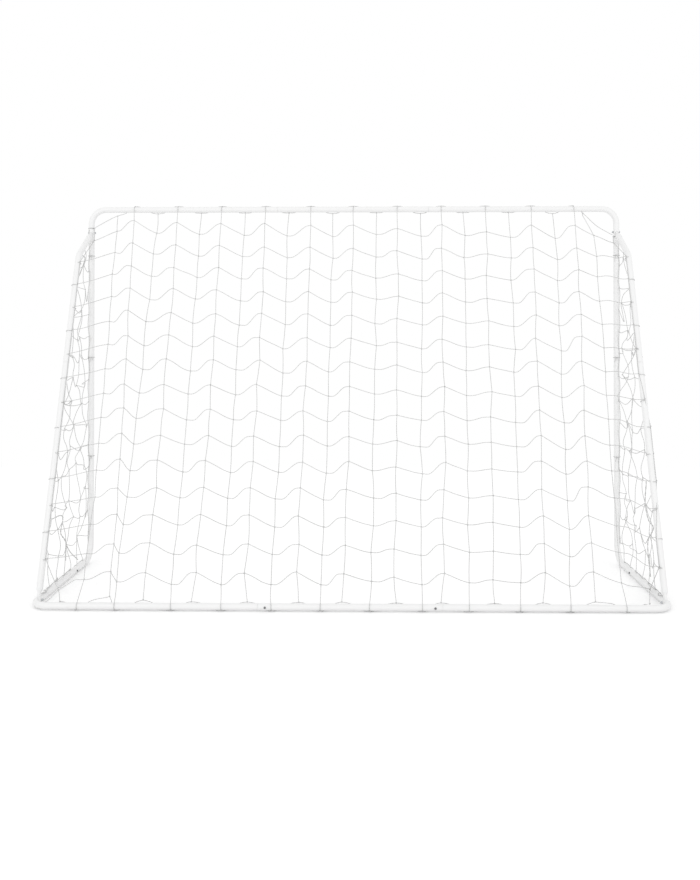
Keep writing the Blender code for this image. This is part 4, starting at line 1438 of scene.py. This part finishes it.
class BuildButtons(bpy.types.Operator):
    """Replaces the snap buttons with finely domed ones, and their springs with strips bent double"""

    bl_idname = "goal.build_buttons"
    bl_label = "Snap buttons"

    def execute(self, context):
        settings = context.scene.goal_frame
        dark = plated_steel("blackened_steel", settings.button_colour, 0.36)
        spring = plated_steel("spring_steel", settings.spring_colour, 0.30)
        for name, at, out, along, (radius, bore) in snap_places():
            vertices, faces = button_surface(radius, bore)
            item = new_object(f"button_{name}", placed(vertices, at, out, along), faces, dark)
            settle(item, "button_steel", f"button_{name}", f"snap_button_{name}")
            vertices, faces = leaf_surface(bore)
            item = new_object(f"spring_{name}", placed(vertices, at, out, along), faces, spring)
            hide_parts(f"leaf_spring_{name}")
            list(placed(leaf_hinge(bore), at, out, along))
            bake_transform(item)
        return {"FINISHED"}


class BuildBolts(bpy.types.Operator):
    """Replaces the cross bolts and nuts with threaded, chamfered ones"""

    bl_idname = "goal.build_bolts"
    bl_label = "Bolts and nuts"

    def execute(self, context):
        zinc = plated_steel("zinc_plate", context.scene.goal_frame.plated_colour, 0.32)
        kinds = {"bolt": bolt_surface(), "nut": nut_surface()}
        for name, at, side in bolt_places():
            for kind, (vertices, faces) in kinds.items():
                points = placed(vertices, at, side * X_AXIS, Y_AXIS)
                item = new_object(f"{kind}_{name}", points, faces, zinc)
                settle(item, "plated_steel", "frame", f"strut_{kind}_{name}")
        return {"FINISHED"}


class BuildBackNet(bpy.types.Operator):
    """Knots the back net, threads it on the crossbar and the rear bar and draws it to the struts"""

    bl_idname = "goal.build_back_net"
    bl_label = "Back net"

    def execute(self, context):
        settings = context.scene.goal_net
        hang_net(back_net_surface(settings), twisted_twine(settings), "twine_net_back", "net_back")
        return {"FINISHED"}


class BuildSideNets(bpy.types.Operator):
    """Hangs the two slack side nets between the struts, the uprights and the side tubes"""

    bl_idname = "goal.build_side_nets"
    bl_label = "Side nets"

    def execute(self, context):
        settings = context.scene.goal_net
        finish = twisted_twine(settings)
        for label, side in SIDES.items():
            surface = side_net_surface(settings, side)
            hang_net(surface, finish, f"twine_net_side_{label}", f"net_side_{label}")
        return {"FINISHED"}


class BuildTies(bpy.types.Operator):
    """Winds and knots the ties that hold the side nets to the uprights"""

    bl_idname = "goal.build_ties"
    bl_label = "Net ties"

    def execute(self, context):
        settings = context.scene.goal_net
        finish = twisted_twine(settings)
        for label, side in SIDES.items():
            for number in range(1, len(TIE_HEIGHTS) + 1):
                surface = tie_surface(settings, side, number)
                hang_net(surface, finish, f"twine_tie_{label}_{number}", f"net_tie_{label}_{number}")
        return {"FINISHED"}


class BuildStage(bpy.types.Operator):
    """Lays a plain floor and sets soft studio lights and the camera"""

    bl_idname = "goal.build_stage"
    bl_label = "Stage"

    def execute(self, context):
        settings = context.scene.goal_stage
        scene = context.scene
        half = settings.floor_size / 2
        corners = [(x * half, y * half, FLOOR_Z) for x, y in ((-1, -1), (1, -1), (1, 1), (-1, 1))]
        mesh = bpy.data.meshes.new("floor")
        mesh.from_pydata(corners, [], [(0, 1, 2, 3)])
        mesh.materials.append(floor_finish())
        floor = bpy.data.objects.new("floor", mesh)
        scene.collection.objects.link(floor)
        scene.world = studio_surround(settings.surround)
        add_soft_light("key", KEY_PLACE, settings.key_power)
        add_soft_light("fill", FILL_PLACE, settings.fill_power)
        lens = bpy.data.cameras.new("camera")
        lens.lens = settings.camera_lens
        lens.sensor_width = SENSOR_WIDTH
        lens.shift_y = settings.camera_shift
        camera = bpy.data.objects.new("camera", lens)
        camera.location = settings.camera_place
        camera.rotation_euler = Vector(settings.camera_direction).to_track_quat("-Z", "Y").to_euler()
        scene.collection.objects.link(camera)
        scene.camera = camera
        scene.view_settings.view_transform = "Standard"
        return {"FINISHED"}


def floor_finish():
    """A white floor. Seen directly it has a light of its own, so that it is as white as the surround."""
    surface = Surface("floor_white", 1.0)
    surface.set("Base Color", (FLOOR_WHITE, FLOOR_WHITE, FLOOR_WHITE, 1))
    surface.set("Specular IOR Level", 0.0)
    surface.set("Emission Color", (1, 1, 1, 1))
    surface.set("Emission Strength", surface.seen_directly() * FLOOR_GLOW)
    return surface.material


def studio_surround(strength):
    """A world that looks white and lights the goal evenly at the given strength."""
    world = bpy.data.worlds.new("surround")
    world.use_nodes = True
    nodes = Nodes(world.node_tree)
    background = world.node_tree.nodes["Background"]
    background.inputs["Color"].default_value = (1, 1, 1, 1)
    levels = {0: nodes.seen_directly(), "To Min": strength, "To Max": 1.0}
    nodes.feed(background.inputs["Strength"], nodes.node("ShaderNodeMapRange", {}, levels))
    return world


def add_soft_light(name, place, power):
    """A square light turned to the goal's middle."""
    light = bpy.data.lights.new(name, "AREA")
    light.size = LIGHT_SIZE
    light.energy = power
    item = bpy.data.objects.new(name, light)
    item.location = place
    aim = Vector(LIGHT_AIM) - item.location
    item.rotation_euler = aim.to_track_quat("-Z", "Y").to_euler()
    bpy.context.scene.collection.objects.link(item)


class GoalPanel(bpy.types.Panel):
    """The goal's settings and pieces"""

    bl_idname = "GOAL_PT_build"
    bl_label = "Goal"
    bl_space_type = "VIEW_3D"
    bl_region_type = "UI"
    bl_category = "Goal"

    def draw(self, context):
        for group in (context.scene.goal_frame, context.scene.goal_net, context.scene.goal_stage):
            column = self.layout.column()
            for name in group.__annotations__:
                column.prop(group, name)
        for operator in OPERATORS:
            self.layout.operator(operator.bl_idname)


SETTINGS = {"goal_frame": GoalFrameSettings, "goal_net": GoalNetSettings, "goal_stage": GoalStageSettings}
OPERATORS = (BuildStage, BuildTubes, BuildButtons, BuildBolts, BuildBackNet, BuildSideNets, BuildTies)


def register():
    for group in SETTINGS.values():
        bpy.utils.register_class(group)
    for name, group in SETTINGS.items():
        setattr(bpy.types.Scene, name, bpy.props.PointerProperty(type=group))
    for piece in (*OPERATORS, GoalPanel):
        bpy.utils.register_class(piece)


def unregister():
    for piece in (GoalPanel, *reversed(OPERATORS)):
        bpy.utils.unregister_class(piece)
    for name, group in SETTINGS.items():
        delattr(bpy.types.Scene, name)
        bpy.utils.unregister_class(group)


def main():
    register()
    bpy.ops.goal.build_stage()
    bpy.ops.goal.build_tubes()
    bpy.ops.goal.build_buttons()
    bpy.ops.goal.build_bolts()
    bpy.ops.goal.build_back_net()
    bpy.ops.goal.build_side_nets()
    bpy.ops.goal.build_ties()


if __name__ == "__main__":
    main()
